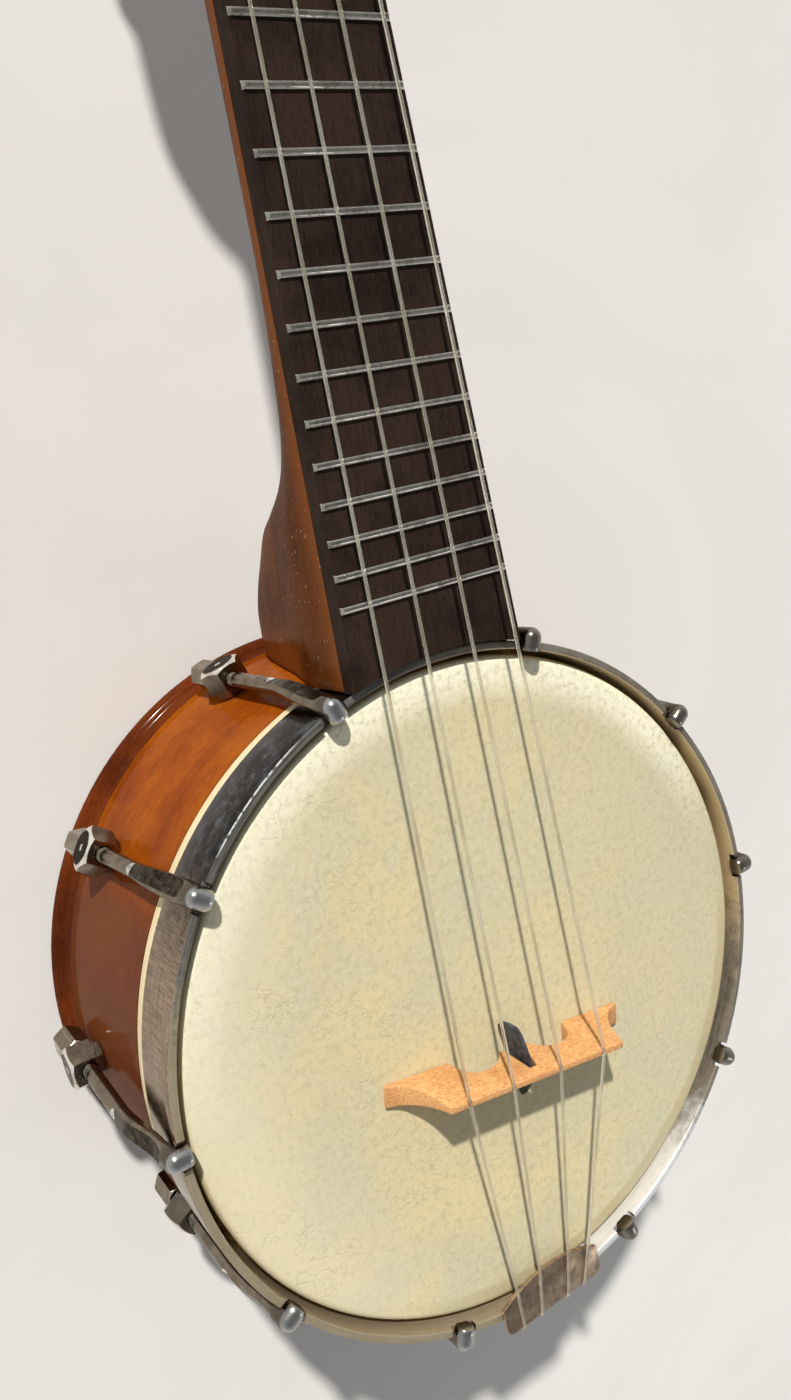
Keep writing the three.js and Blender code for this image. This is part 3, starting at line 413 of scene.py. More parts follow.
def even_normals(piece, width):
    """Just breaks the edges, and keeps flat faces flat up to their small bevels."""
    bevelled(piece, width, angle=24, corner=30)
    modified(piece, "WEIGHTED_NORMAL", keep_sharp=True, weight=50)


# Materials
def screen(r, g, b):
    """A colour written as it shows on the screen, 0 to 255, in the shader's own values."""
    def one(value):
        value /= 255
        return value / 12.92 if value <= 0.04045 else ((value + 0.055) / 1.055) ** 2.4
    return one(r), one(g), one(b), 1


class Surface:
    """A node material, built up one node at a time. A tone is three screen values or a node's output."""

    def __init__(self, name, **settings):
        self.material = bpy.data.materials.new(name)
        self.material.use_nodes = True
        self.tree = self.material.node_tree
        self.shader = self.tree.nodes["Principled BSDF"]
        for key, value in settings.items():
            self.shader.inputs[key.replace("_", " ")].default_value = value
        self.place = self.add("TexCoord").outputs["Object"]
        self.colour = None

    def add(self, kind, *inputs, **settings):
        node = self.tree.nodes.new("ShaderNode" + kind)
        for key, value in settings.items():
            setattr(node, key, value)
        for socket, value in zip(node.inputs, inputs):
            self.feed(socket, value)
        return node

    def feed(self, socket, value):
        if isinstance(value, bpy.types.NodeSocket):
            self.tree.links.new(value, socket)
        else:
            socket.default_value = value

    def scaled(self, x, y=None, z=None):
        """The place in millimetres times a share for each axis."""
        y, z = (x if y is None else y), (x if z is None else z)
        node = self.add("Mapping", self.place)
        node.inputs["Scale"].default_value = (x / MM, y / MM, z / MM)
        return node.outputs[0]

    def noise(self, place, detail=3, roughness=0.5, distortion=0):
        node = self.add("TexNoise", place)
        values = {"Scale": 1, "Detail": detail, "Roughness": roughness, "Distortion": distortion}
        for key, value in values.items():
            node.inputs[key].default_value = value
        return node.outputs["Fac"]

    def cells(self, place, feature="F1"):
        node = self.add("TexVoronoi", place, feature=feature)
        node.inputs["Scale"].default_value = 1
        return node.outputs["Distance"]

    def cracks(self, place, bend, wide, thin):
        """Thin lines between cells, bent by a noise at another place."""
        bend = self.add("TexNoise", bend).outputs["Color"]
        web = self.add("VectorMath", place, bend, operation="ADD").outputs[0]
        return self.ramp(self.cells(web, "DISTANCE_TO_EDGE"), wide, thin)

    def ramp(self, fac, low, high, first=0, last=1):
        """A value that goes from first to last while fac goes from low to high."""
        node = self.add("MapRange", fac, low, high, first, last, interpolation_type="SMOOTHSTEP")
        return node.outputs[0]

    def maths(self, how, *values):
        return self.add("Math", *values, operation=how).outputs[0]

    def plus(self, a, b):
        return self.maths("ADD", a, b)

    def minus(self, a, b):
        return self.maths("SUBTRACT", a, b)

    def times(self, first, *others):
        for other in others:
            first = self.maths("MULTIPLY", first, other)
        return first

    def wavy(self, value, noise, reach):
        """A value that wanders with a noise."""
        return self.maths("MULTIPLY_ADD", noise, reach, value)

    def axis(self, name):
        """Millimetres along one of the frame's axes."""
        return self.add("SeparateXYZ", self.scaled(1)).outputs[name]

    def from_middle(self):
        """The distance from the pot's axis, in millimetres."""
        return self.add("VectorMath", self.scaled(1, 1, 0), operation="LENGTH").outputs["Value"]

    def angle(self):
        """Degrees round the pot from the neck, positive towards the bass side."""
        split = self.add("SeparateXYZ", self.scaled(-1, 1, 1)).outputs
        return self.maths("DEGREES", self.maths("ARCTAN2", split["X"], split["Y"]))

    def round_place(self, along, up, out=0.0):
        """Millimetres round the pot, up and out from its axis, times a share for each."""
        turn = self.times(self.angle(), along * POT_RADIUS * math.pi / 180)
        rise = self.times(self.axis("Z"), up)
        return self.add("CombineXYZ", turn, rise, self.times(self.from_middle(), out)).outputs[0]

    def mix(self, fac, low, high):
        node = self.add("Mix", data_type="RGBA")
        for key, value in ((0, fac), (6, low), (7, high)):
            self.feed(node.inputs[key], screen(*value) if isinstance(value, tuple) else value)
        return node.outputs[2]

    def paint(self, fac, tone):
        """Lays a tone over the colour so far."""
        self.colour = self.mix(fac, self.colour, tone)

    def shade(self, value, low, high, most, tone):
        """Lays a tone over the colour so far, from none to most while a value goes from low to high."""
        self.paint(self.ramp(value, low, high, 0, most), tone)

    def finish(self, roughness, height=None, depth=0, strength=0):
        self.feed(self.shader.inputs["Base Color"], self.colour)
        self.feed(self.shader.inputs["Roughness"], roughness)
        if height is not None:
            bump = self.add("Bump")
            for key, value in (("Strength", strength), ("Distance", depth * MM), ("Height", height)):
                self.feed(bump.inputs[key], value)
            self.feed(self.shader.inputs["Normal"], bump.outputs[0])
        return self.material


def wood(name, tones, gloss, place, coat=0.14, cloudy=1.0, wear_and_painted_light=None):
    """Wood under varnish: broad bands, fine streaks and short open pores along the grain.

    The place function gives the point with a share along the grain and one across it.
    """
    dark, middle, light = tones
    s = Surface(name, Coat_Weight=coat, Coat_Roughness=gloss, Specular_IOR_Level=0)
    bands = s.noise(place(s, 0.008, 0.16), 4, 0.6, 0.5)
    streaks = s.noise(place(s, 0.05, 1.5), 4, 0.65)
    pores = s.noise(place(s, 0.3, 3.6), 2, 0.6)
    figure = s.noise(place(s, 0.14, 0.035))
    clouds = s.noise(s.scaled(0.03), 4, 0.6)
    s.colour = s.mix(s.ramp(bands, 0.3, 0.6, 0.35), dark, middle)
    s.shade(clouds, 0.44, 0.62, 0.85 * cloudy, light)
    s.shade(clouds, 0.44, 0.32, 0.6 * cloudy, dark)
    s.shade(figure, 0.45, 0.62, 0.35, light)
    s.shade(streaks, 0.48, 0.7, 0.45, dark)
    s.shade(pores, 0.53, 0.64, 0.6, dark)
    s.shade(pores, 0.45, 0.36, 0.4, light)
    if wear_and_painted_light:
        wear_and_painted_light(s, streaks, clouds)
    rough = s.ramp(s.noise(s.scaled(0.4)), 0.3, 0.7, 0.34, 0.52)
    return s.finish(rough, s.minus(figure, pores), 0.04, 0.25)


def along_y(s, along, across):
    return s.scaled(across, along, across)


def round_pot(s, along, across):
    return s.round_place(along, across, across * 0.5)


def rim_painted_reflection(s, streaks, clouds):
    """The rim's bass side is darker: a painted reflection."""
    side = s.wavy(s.angle(), clouds, 14)
    s.paint(s.times(s.ramp(side, 58, 70), s.ramp(side, 172, 140), 0.75), (86, 50, 34))


def neck_specks_and_painted_highlight(s, streaks, clouds):
    """Paler along the top edges, a painted highlight at the heel's foot, and small pale specks."""
    height = s.wavy(s.plus(s.axis("Z"), -3), streaks, 6)
    s.shade(height, NECK_TOP - 9, NECK_TOP + 0.5, 0.9, (124, 70, 32))
    # Painted highlight: the heel's foot by the pot is painted paler.
    by_pot = s.ramp(s.axis("Y"), NECK_START + 16, NECK_START + 2)
    foot = s.times(s.ramp(height, NECK_TOP - 15, NECK_TOP - 33), by_pot)
    s.paint(s.times(foot, 0.6), (138, 74, 28))
    dots = s.ramp(s.cells(s.scaled(0.7, 0.4, 0.7)), 0.14, 0.08)
    s.paint(s.times(dots, s.ramp(s.noise(s.scaled(0.2), 2), 0.45, 0.6), 0.8), (206, 178, 150))


def metal(name, dark, pale, patch=0.16, share=0.5, spread=0.1, rough=(0.14, 0.3), scratch=(1.2, 1.2, 0.08),
          scratched=0.3, pitted=0.6, wear_and_painted_light=None, metallic=1, edge=1.0):
    """Nickel plate mottled between a dark and a pale tone, with fine scratches and small pits; on some parts the
    tones are painted reflections and highlights.
    """
    s = Surface(name, Metallic=metallic, Specular_Tint=(edge, edge * 0.97, edge * 0.93, 1))
    patches = s.noise(s.scaled(patch), 6, 0.62, 0.4)
    lines = s.noise(s.scaled(*scratch), 2, 0.7)
    mottle = s.plus(s.times(patches, 0.75), s.times(s.noise(s.scaled(patch * 9), 3, 0.6), 0.25))
    low, high = share - spread, share + spread
    s.colour = s.mix(s.ramp(mottle, low, high), dark, pale)
    s.shade(lines, 0.6, 0.74, scratched, (206, 200, 190))
    pits = s.times(s.ramp(s.cells(s.scaled(1.1)), 0.14, 0.07), s.ramp(patches, 0.42, 0.6))
    s.paint(s.times(pits, pitted), (44, 36, 30))
    if wear_and_painted_light:
        wear_and_painted_light(s, patches)
    return s.finish(s.ramp(mottle, low, high, rough[1], rough[0]), s.minus(lines, pits), 0.02, 0.12)


def hoop_marks_and_painted_reflections(s, patches):
    """The band's colour: near black by the neck, a painted dark reflection with bluish painted reflections on
    it, and elsewhere a brown painted reflection with fine woven marks and painted glints; greyer towards the
    bottom edge.
    """
    turn = s.angle()
    angle = s.wavy(turn, patches, 24)
    # Painted reflection: brown round most of the band, away from the neck.
    brown_reflection = s.maths("MAXIMUM", s.ramp(angle, 58, 80), s.ramp(angle, -10, -50))
    weave = s.plus(s.noise(s.round_place(0.05, 3.2)), s.noise(s.round_place(2.6, 0.12)))
    tone = s.mix(s.ramp(weave, 0.86, 1.14), (142, 120, 100), (204, 182, 160))
    tone = s.mix(s.ramp(patches, 0.4, 0.6, 0, 0.35), tone, (128, 112, 98))
    # Painted glints: small pale streaks round the band.
    tone = s.mix(s.ramp(s.noise(s.round_place(0.07, 1.4)), 0.66, 0.72, 0, 0.8), tone, (238, 230, 218))
    s.shade(s.axis("Z"), HOOP_BOTTOM + 9, HOOP_BOTTOM, 0.3, (140, 142, 146))
    # Painted reflections: bluish smudges by the neck.
    blue_reflections = s.ramp(s.noise(s.round_place(0.16, 0.2), 6, 0.75), 0.46, 0.7, 0, 0.6)
    s.paint(s.times(blue_reflections, s.ramp(turn, 54, 40), s.ramp(turn, 14, 24)), (142, 150, 162))
    s.paint(s.times(brown_reflection, 0.9), tone)
    # Painted reflections: fine bluish specks all round.
    s.shade(s.noise(s.round_place(2.5, 2.5), 4, 0.8), 0.5, 0.8, 0.4, (150, 158, 170))


def edge_streaks_and_painted_light(s, patches):
    """The band's top and inner wall: dark by the neck, with painted reflections of the skin, a painted
    highlight, painted glints and pale streaks.
    """
    turn, reach = s.angle(), s.from_middle()
    angle = s.wavy(s.plus(turn, -15), patches, 30)
    streaks = s.ramp(s.noise(s.round_place(0.1, 1, 1.5), 4), 0.36, 0.62, 0, 0.2)
    wall = s.ramp(reach, HOOP_INSIDE + 0.3, HOOP_INSIDE + 0.12)
    # Painted reflection of the skin: the inner wall on the treble side is tan.
    s.paint(s.times(wall, s.ramp(angle, -6, -18), s.ramp(angle, -112, -88)), (222, 200, 158))
    s.shade(angle, -8, 12, 1, s.mix(streaks, (86, 85, 82), (122, 121, 118)))
    # Painted reflection of the skin: tan on the bass side.
    s.shade(angle, 58, 74, 1, s.mix(patches, (150, 136, 108), (190, 174, 144)))
    # Painted highlight: bright at the lower right.
    s.shade(angle, -132, -150, 1, (240, 240, 242))
    # Painted glints along the outer corner, between 25 and 49 degrees.
    corner = s.ramp(reach, HOOP_RADIUS - 0.6, HOOP_RADIUS - 0.4)
    corner_glints = s.times(s.ramp(turn, 25, 31), s.ramp(turn, 49, 43), corner)
    s.paint(s.times(corner_glints, s.ramp(s.noise(s.scaled(0.5)), 0.4, 0.52)), (255, 254, 252))
    s.paint(streaks, (200, 192, 178))


def hook_painted_light(s, patches):
    """Painted light: the ball's crown is painted paler as a highlight, its sides and the arm just below darker
    as shade, and both browner on the treble side as a painted reflection of the skin.
    """
    height = s.axis("Z")
    treble = s.ramp(s.angle(), 4, -8, 0, 0.7)
    crown = s.mix(treble, s.mix(patches, (180, 179, 176), (212, 211, 208)), (134, 122, 104))
    s.shade(height, HOOP_TOP - 5, HOOP_TOP - 1, 1, s.mix(treble, (98, 92, 85), (84, 75, 62)))
    s.shade(height, HOOP_TOP + 0.2, HOOP_TOP + 2.2, 1, crown)


def brushed(s, patches):
    """Fine dark marks of the file."""
    s.shade(s.noise(s.scaled(0.5, 5, 0.5), 3, 0.7), 0.5, 0.66, 0.25, (60, 50, 42))


def skin_material():
    """Calfskin: cream with grey-green and yellow clouds, fibres, pores and faint creases."""
    s = Surface("calfskin")
    clouds = s.noise(s.scaled(0.022), 4, 0.55, 0.5)
    other = s.noise(s.scaled(0.045, 0.035, 0.05), 5, 0.62)
    fine = s.noise(s.scaled(0.5), 5, 0.68)
    fibres = s.noise(s.scaled(1.6, 0.9, 1), 3, 0.7, 1)
    across, turn, reach = s.axis("X"), s.angle(), s.from_middle()
    s.colour = s.mix(s.ramp(clouds, 0.34, 0.66), (211, 203, 170), (224, 208, 163))
    s.shade(other, 0.48, 0.7, 0.55, (208, 206, 178))
    s.shade(across, 10, 85, 0.5, (201, 196, 166))
    # Painted light: the skin by the rim on the neck side is painted paler.
    by_rim = s.ramp(reach, RIM_INSIDE - 9, RIM_INSIDE + 2)
    s.paint(s.times(s.ramp(turn, 100, 62), s.ramp(turn, -86, -50), by_rim), (255, 250, 222))
    s.shade(fine, 0.46, 0.66, 0.5, (188, 178, 140))
    s.shade(fibres, 0.56, 0.68, 0.3, (178, 168, 134))
    s.shade(fibres, 0.44, 0.32, 0.45, (236, 228, 194))
    pores = s.times(s.ramp(s.cells(s.scaled(0.07)), 0.05, 0.02), s.ramp(other, 0.46, 0.56))
    s.paint(s.times(pores, 0.6), (138, 124, 92))
    wrinkles = s.times(s.cracks(s.scaled(0.42, 0.3, 0), s.scaled(0.6), 0.1, 0.01), s.ramp(other, 0.4, 0.6))
    s.paint(s.times(wrinkles, 0.12), (178, 168, 132))
    # Painted light: the skin is paler towards the bass edge.
    s.paint(s.times(s.ramp(across, -20, -80), s.ramp(reach, 52, 84), 0.55), (238, 230, 200))
    creases = s.cracks(s.scaled(0.013, 0.02, 0), s.scaled(0.03), 0.012, 0.002)
    creases = s.times(creases, s.ramp(clouds, 0.44, 0.56))
    s.paint(s.times(creases, 0.3), (186, 178, 146))
    lower = s.plus(s.ramp(turn, -88, -106, 0, 0.6), s.ramp(turn, 142, 170, 0, 0.6))
    edge = s.ramp(s.wavy(reach, other, 2), RIM_INSIDE + 0.4, RIM_INSIDE + 1.6)
    s.paint(s.times(lower, edge), (186, 172, 132))
    s.shade(reach, SKIN_RADIUS - 1, SKIN_RADIUS - 0.2, 1, (214, 198, 158))
    height = s.minus(s.wavy(fine, clouds, 2), s.plus(creases, s.times(wrinkles, 0.35)))
    return s.finish(s.ramp(fine, 0.3, 0.7, 0.5, 0.7), height, 0.14, 0.45)


def maple_material():
    """Pale bridge maple with short dark flecks that run along the bridge."""
    s = Surface("maple_fine", Specular_IOR_Level=0.3)
    clouds = s.noise(s.scaled(0.12))
    turn = s.add("VectorRotate", s.place, rotation_type="Z_AXIS")
    turn.inputs["Angle"].default_value = math.radians(-BRIDGE_TURN)
    s.place = turn.outputs[0]
    flecks = s.noise(s.scaled(0.8, 3.2, 3.2), 3, 0.6)
    s.colour = s.mix(s.ramp(clouds, 0.35, 0.65), (206, 152, 98), (218, 167, 111))
    s.shade(flecks, 0.5, 0.6, 0.75, (188, 120, 62))
    s.shade(flecks, 0.42, 0.3, 0.6, (244, 204, 150))
    return s.finish(s.ramp(flecks, 0.3, 0.7, 0.42, 0.6), flecks, 0.05, 0.3)


def plastic(name, dark, pale, scale, rough=(0.3, 0.5), **settings):
    """A smooth material with soft clouds and a slightly uneven gloss."""
    s = Surface(name, **settings)
    clouds = s.noise(s.scaled(scale), 4, 0.6, 0.8)
    fine = s.noise(s.scaled(scale * 9))
    s.colour = s.mix(s.ramp(clouds, 0.35, 0.65), dark, pale)
    return s.finish(s.ramp(fine, 0.3, 0.7, *rough), fine, 0.03, 0.2)


def clear_nylon():
    """Clear line with faint cloudy stretches and a little dust."""
    s = Surface("nylon_fine", Transmission_Weight=0.8, IOR=1.5)
    clouds = s.noise(s.scaled(0.05), 2)
    s.colour = s.mix(s.ramp(clouds, 0.35, 0.65), (222, 216, 196), (242, 238, 224))
    s.shade(s.noise(s.scaled(0.25), 2), 0.55, 0.75, 0.3, (250, 246, 232))
    return s.finish(s.ramp(clouds, 0.3, 0.7, 0.06, 0.12))


stained_wood = wood("stained_wood_fine", ((104, 42, 8), (134, 62, 10), (156, 81, 14)), 0.1, round_pot,
                    wear_and_painted_light=rim_painted_reflection)
lip_wood = wood("lip_wood_fine", ((58, 22, 6), (78, 32, 8), (104, 46, 14)), 0.12, round_pot)
neck_wood = wood("neck_wood_fine", ((60, 28, 10), (84, 43, 16), (110, 61, 23)), 0.14, along_y, cloudy=0.7,
                 wear_and_painted_light=neck_specks_and_painted_highlight)
inner_wood = wood("inner_wood_fine", ((150, 112, 70), (184, 146, 96), (204, 170, 120)), 0.5, along_y, coat=0)
ebony = wood("ebony_fine", ((30, 22, 19), (44, 33, 28), (58, 45, 38)), 0.35, along_y, coat=0.1)
# Painted dark reflection: the band's near-black tones.
hoop_nickel = metal("hoop_nickel", (38, 37, 38), (60, 60, 63), 0.4, spread=0.24, rough=(0.08, 0.2),
                    scratched=0.15, wear_and_painted_light=hoop_marks_and_painted_reflections, edge=0.72)
edge_nickel = metal("edge_nickel", (108, 99, 86), (132, 123, 110), 0.3, spread=0.16, rough=(0.3, 0.42),
                    scratched=0.2, pitted=0.8, wear_and_painted_light=edge_streaks_and_painted_light, metallic=0.45)
hook_nickel = metal("hook_nickel", (78, 71, 62), (138, 128, 114), 0.2, share=0.42, spread=0.16,
                    rough=(0.18, 0.28), pitted=0.3, wear_and_painted_light=hook_painted_light, edge=0.75)
# Painted dark reflection: the dark tones of the hook's milled flat.
facet_nickel = metal("facet_nickel", (42, 37, 32), (84, 76, 67), 0.5, rough=(0.16, 0.32), edge=0.7)
# Painted highlights: bright tones for chamfers and for the scooped start of the hook's flat.
bright_nickel = metal("bright_nickel", (196, 188, 176), (240, 236, 228), 0.3, share=0.45, rough=(0.2, 0.3),
                      pitted=0.3)
# Painted dark reflection: dark tones for the ends of the shoes and nuts.
face_nickel = metal("face_nickel", (28, 24, 20), (54, 47, 39), 0.4, rough=(0.16, 0.3), scratched=0.12,
                    edge=0.55)
shoe_nickel = metal("shoe_nickel", (108, 97, 84), (142, 129, 114), 0.2, spread=0.16, rough=(0.14, 0.28),
                    wear_and_painted_light=brushed)
tail_nickel = metal("tail_nickel", (146, 124, 104), (196, 172, 148), 0.2, rough=(0.3, 0.44),
                    scratch=(0.1, 0.8, 0.1), scratched=0.2, pitted=0.9)
fret_nickel = metal("fret_nickel", (140, 134, 124), (196, 190, 180), 0.2, share=0.45)
brass = metal("brass_fine", (120, 92, 46), (186, 152, 88), rough=(0.3, 0.5))
skin = skin_material()
maple = maple_material()
bone = plastic("bone_fine", (226, 216, 188), (238, 230, 208), 0.3)
dark_plate = plastic("dark_plate_fine", (44, 48, 55), (82, 88, 98), 0.35, (0.45, 0.6), Specular_IOR_Level=0.3)
button = plastic("button_fine", (222, 208, 172), (238, 228, 202), 0.12, (0.15, 0.3))
nylon = clear_nylon()


def dress(piece, node, body="pot"):
    """Puts a piece on the body it rides on and hides the CAD node that it stands for."""
    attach(piece, body)
    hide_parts(node)


# The pot
def arc(cx, cz, radius, start, end, steps):
    """(radius, height) points on an arc, with the angles in degrees from straight out."""
    return [(cx + radius * math.cos(a), cz + radius * math.sin(a))
            for a in (math.radians(degrees) for degrees in evenly(start, end, steps))]


def make_rim():
    edge = SKIN_RADIUS - SKIN_THICK - FIT - EDGE_ROUND
    shoulder = TUCK_BOTTOM - FIT
    profile = [(RIM_INSIDE, RIM_BOTTOM), *arc(POT_RADIUS - 0.5, RIM_BOTTOM + 0.5, 0.5, -90, 0, 4)]
    profile += [(POT_RADIUS, z) for z in evenly(RIM_BOTTOM, shoulder, 8)[1:]]
    profile += [(edge + EDGE_ROUND, shoulder), *arc(edge, RIM_TOP - EDGE_ROUND, EDGE_ROUND, 0, 90, 4)]
    profile += arc(RIM_INSIDE + EDGE_ROUND, RIM_TOP - EDGE_ROUND, EDGE_ROUND, 90, 180, 4)
    dress(new_piece("rim_wall", lathe(profile), stained_wood), "rim")


def make_back():
    half = LIP_THICK / 2
    cove = POT_RADIUS - COVE_INSET
    reach = LIP_RADIUS - half / 2 - cove
    rise = BACK_TOP - LIP_THICK
    profile = [(0, 0), (30, 0), (60, 0), *arc(LIP_RADIUS - half, half, half, -90, 66, 14)]
    for a in (math.radians(degrees) for degrees in evenly(9, 90, 10)):
        profile.append((cove + reach * (1 - math.sin(a)), LIP_THICK + rise * (1 - math.cos(a))))
    profile += [(RIM_INSIDE, BACK_TOP), (RIM_INSIDE, BACK_PANEL), (0, BACK_PANEL)]
    dress(new_piece("back_and_lip", lathe(profile), lip_wood), "back_plate")


def make_skin():
    middle = SKIN_RADIUS - SKIN_ROUND
    bend = HEAD_Z - SKIN_ROUND
    floor = TUCK_BOTTOM + SKIN_THICK
    tuck_top = HOOP_BOTTOM - FIT
    profile = [(r, HEAD_Z) for r in evenly(0, middle, 30)[:-1]] + arc(middle, bend, SKIN_ROUND, 90, 0, 8)
    profile += [(r, floor) for r in (SKIN_RADIUS, POT_RADIUS - TUCK_THICK)]
    profile += [(POT_RADIUS - TUCK_THICK, tuck_top), *arc(POT_RADIUS - 0.3, tuck_top - 0.3, 0.3, 90, 0, 3)]
    profile += arc(POT_RADIUS - 0.5, TUCK_BOTTOM + 0.5, 0.5, 0, -90, 3)
    profile += [(SKIN_RADIUS - SKIN_THICK, TUCK_BOTTOM)]
    profile += [*arc(middle, bend, SKIN_ROUND - SKIN_THICK, 0, 90, 5), (0, HEAD_Z - SKIN_THICK)]
    dress(new_piece("calfskin_head", lathe(profile), skin), "head_skin")


def make_hoop():
    """The tension hoop, with its notches in the rows of points round it."""
    notch = math.degrees(NOTCH_HALF / HOOP_RADIUS)
    rows = [((claw + side * (notch + step)) % 360, step < 0)
            for claw in CLAW_ANGLES for side in (-1, 1) for step in (0.02, -0.02)]
    for angle in evenly(0, 360, RINGS)[:-1]:
        off = min(abs((angle - claw + 180) % 360 - 180) for claw in CLAW_ANGLES)
        if abs(off - notch) > 0.3:
            rows.append((angle, off < notch))
    rings = []
    for angle, low in sorted(rows):
        dip = NOTCH_DEPTH if low else HOOP_DIP * smooth((78 - min(angle, 360 - angle)) / 36)
        top = HOOP_TOP - dip
        bite = 0.1 if low else 0.35
        outer, inner = HOOP_RADIUS, HOOP_INSIDE
        profile = [(inner, HOOP_BOTTOM), (outer - 0.25, HOOP_BOTTOM), (outer, HOOP_BOTTOM + 0.25),
                   (outer, top - 4), (outer, top - bite), (outer - bite * 0.3, top - bite * 0.3),
                   (outer - bite, top), (inner + bite / 2, top), (inner, top - bite / 2)]
        a = math.radians(angle)
        rings.append([(-r * math.sin(a), r * math.cos(a), z) for r, z in profile])
    piece = new_piece("tension_band", loft(rings, looped=True), hoop_nickel, corner=40)
    piece.data.materials.append(edge_nickel)
    for face in piece.data.polygons:
        reach = Vector(face.center[:2]).length / MM
        face.material_index = 1 if reach < HOOP_INSIDE + 0.1 or face.normal.z > 0.6 else 0
    dress(piece, "tension_hoop")


make_rim()
make_back()
make_skin()
make_hoop()


# Brackets: each mesh is made once at the +X side
def bracket_matrix(claw, lean):
    """The place of a bracket with its claw at an angle round the pot and its rod leaning, in degrees."""
    foot = math.degrees(math.atan(math.tan(math.radians(lean)) * ARM_TOP / HOOP_RADIUS))
    return pose((0, 0, SHOE_Z * MM), claw + foot + 90) @ pose((0, 0, 0), lean, "X")


def threaded_rod(low, high, thread_low, thread_high):
    """The hook's rod, with a real screw thread over one stretch."""
    sides = 24
    heights = [low, low + 0.4]
    z = thread_low
    while z < thread_high:
        heights.append(z)
        z += THREAD_PITCH / 6
    heights += [thread_high + 0.3, thread_high + 1.2, high]
    rings = []
    for z in heights:
        ring = []
        share = smooth((z - thread_low) / THREAD_PITCH) * smooth((thread_high - z) / THREAD_PITCH)
        for i, a in enumerate(around(sides)):
            wave = abs(((z / THREAD_PITCH - i / sides) % 1) * 2 - 1)
            r = ROD_RADIUS - THREAD_DEPTH * share * (1 - wave) - (0.3 if z == low else 0)
            ring.append((r * math.cos(a), r * math.sin(a), z))
        rings.append(ring)
    return moved(loft(rings), pose((ROD_AXIS, 0, 0)))


def arm_line(z):
    """Middle, half thickness, half width and squareness of the hook's arm at a height."""
    s = (z - ARM_LOW) / ARM_LENGTH
    ball = ARM_FACE + CLAW_PROUD
    back = ARM_FACE + ARM_THICK
    rod_out, rod_in = ROD_AXIS + ROD_RADIUS, ROD_AXIS - ROD_RADIUS
    ball_in = ball - 2 * CLAW_RADIUS
    outer = table_at([(-0.1, rod_out), (0.1, rod_out), (0.3, rod_out - 0.1), (0.7, back + 0.1),
                      (0.85, back - 0.3), (0.96, ball), (1, ball)], s)
    inner = table_at([(-0.1, rod_in), (0.08, rod_in), (0.38, ARM_FACE + 1.1), (0.7, ARM_FACE),
                      (0.82, ARM_FACE - 0.4), (0.96, ball_in), (1, ball_in)], s)
    wide = table_at([(-0.1, ROD_RADIUS), (0.04, ROD_RADIUS), (0.32, ARM_NARROW), (0.6, ARM_NARROW + 0.35),
                     (0.96, CLAW_RADIUS), (1, CLAW_RADIUS)], s)
    power = 2 + 0.35 * smooth((z - ARM_LOW) / 12) * (1 - smooth((s - 0.78) / 0.16))
    return (outer + inner) / 2, (outer - inner) / 2, wide, power


def arm_shape():
    """The arm: a round rod that widens, flattens, bends in towards the hoop and ends in a ball."""
    rows = [(z, 1) for z in evenly(ARM_LOW - 4, ARM_TOP, 60)]
    rows += [(ARM_TOP + CLAW_RADIUS * math.sin(a), math.cos(a)) for a in evenly(0, math.pi / 2, 12)[1:-1]]
    rings = []
    for z, share in rows:
        middle, thick, wide, power = arm_line(min(z, ARM_TOP))
        rings.append([(middle + share * thick * bulge(math.cos(a), 2 / power),
                       share * wide * bulge(math.sin(a), 2 / power), z) for a in around(48)])
    return loft(rings)


def facet_shape():
    """What the mill took off the arm's outer side: a flat with a rounded, scooped start."""
    start = ARM_LOW + FACET_TURN
    rings = []
    for share in evenly(0, 1, 110):
        z = ARM_LOW - 3.4 + (ARM_LENGTH + 9) * share ** 1.5
        middle, thick, _, _ = arm_line(min(z, ARM_TOP))
        rise = 0.2 * smooth((z - ARM_LOW) / 16) + 1.8 * smooth((z - ARM_TOP + 4.4) / 4.4)
        flat = middle + thick - 0.74 + rise
        front = []
        for place in evenly(-1, 1, 40):
            y = 6 * bulge(place, 1.4)
            off = math.hypot(y, z - start) if z < start else abs(y) - 2.5 * (z - start)
            front.append((flat + max(0, off - FACET_TURN) * 0.9 + FACET_TILT * y, y, z))
        rings.append(front + [(ROD_AXIS + 9, y, z) for _, y, z in reversed(front)])
    return loft(rings)


def claw_shape(near, far):
    """The claw's round bar with ball ends, along X."""
    quarter = evenly(0, math.pi / 2, 12)
    rows = [(CLAW_RADIUS * math.sin(a), near - CLAW_RADIUS * math.cos(a)) for a in quarter]
    rows += [(CLAW_RADIUS * math.cos(a), far + CLAW_RADIUS * math.sin(a)) for a in quarter]
    return moved(lathe(rows, 48), pose((0, 0, ARM_TOP), 90, "Y"))


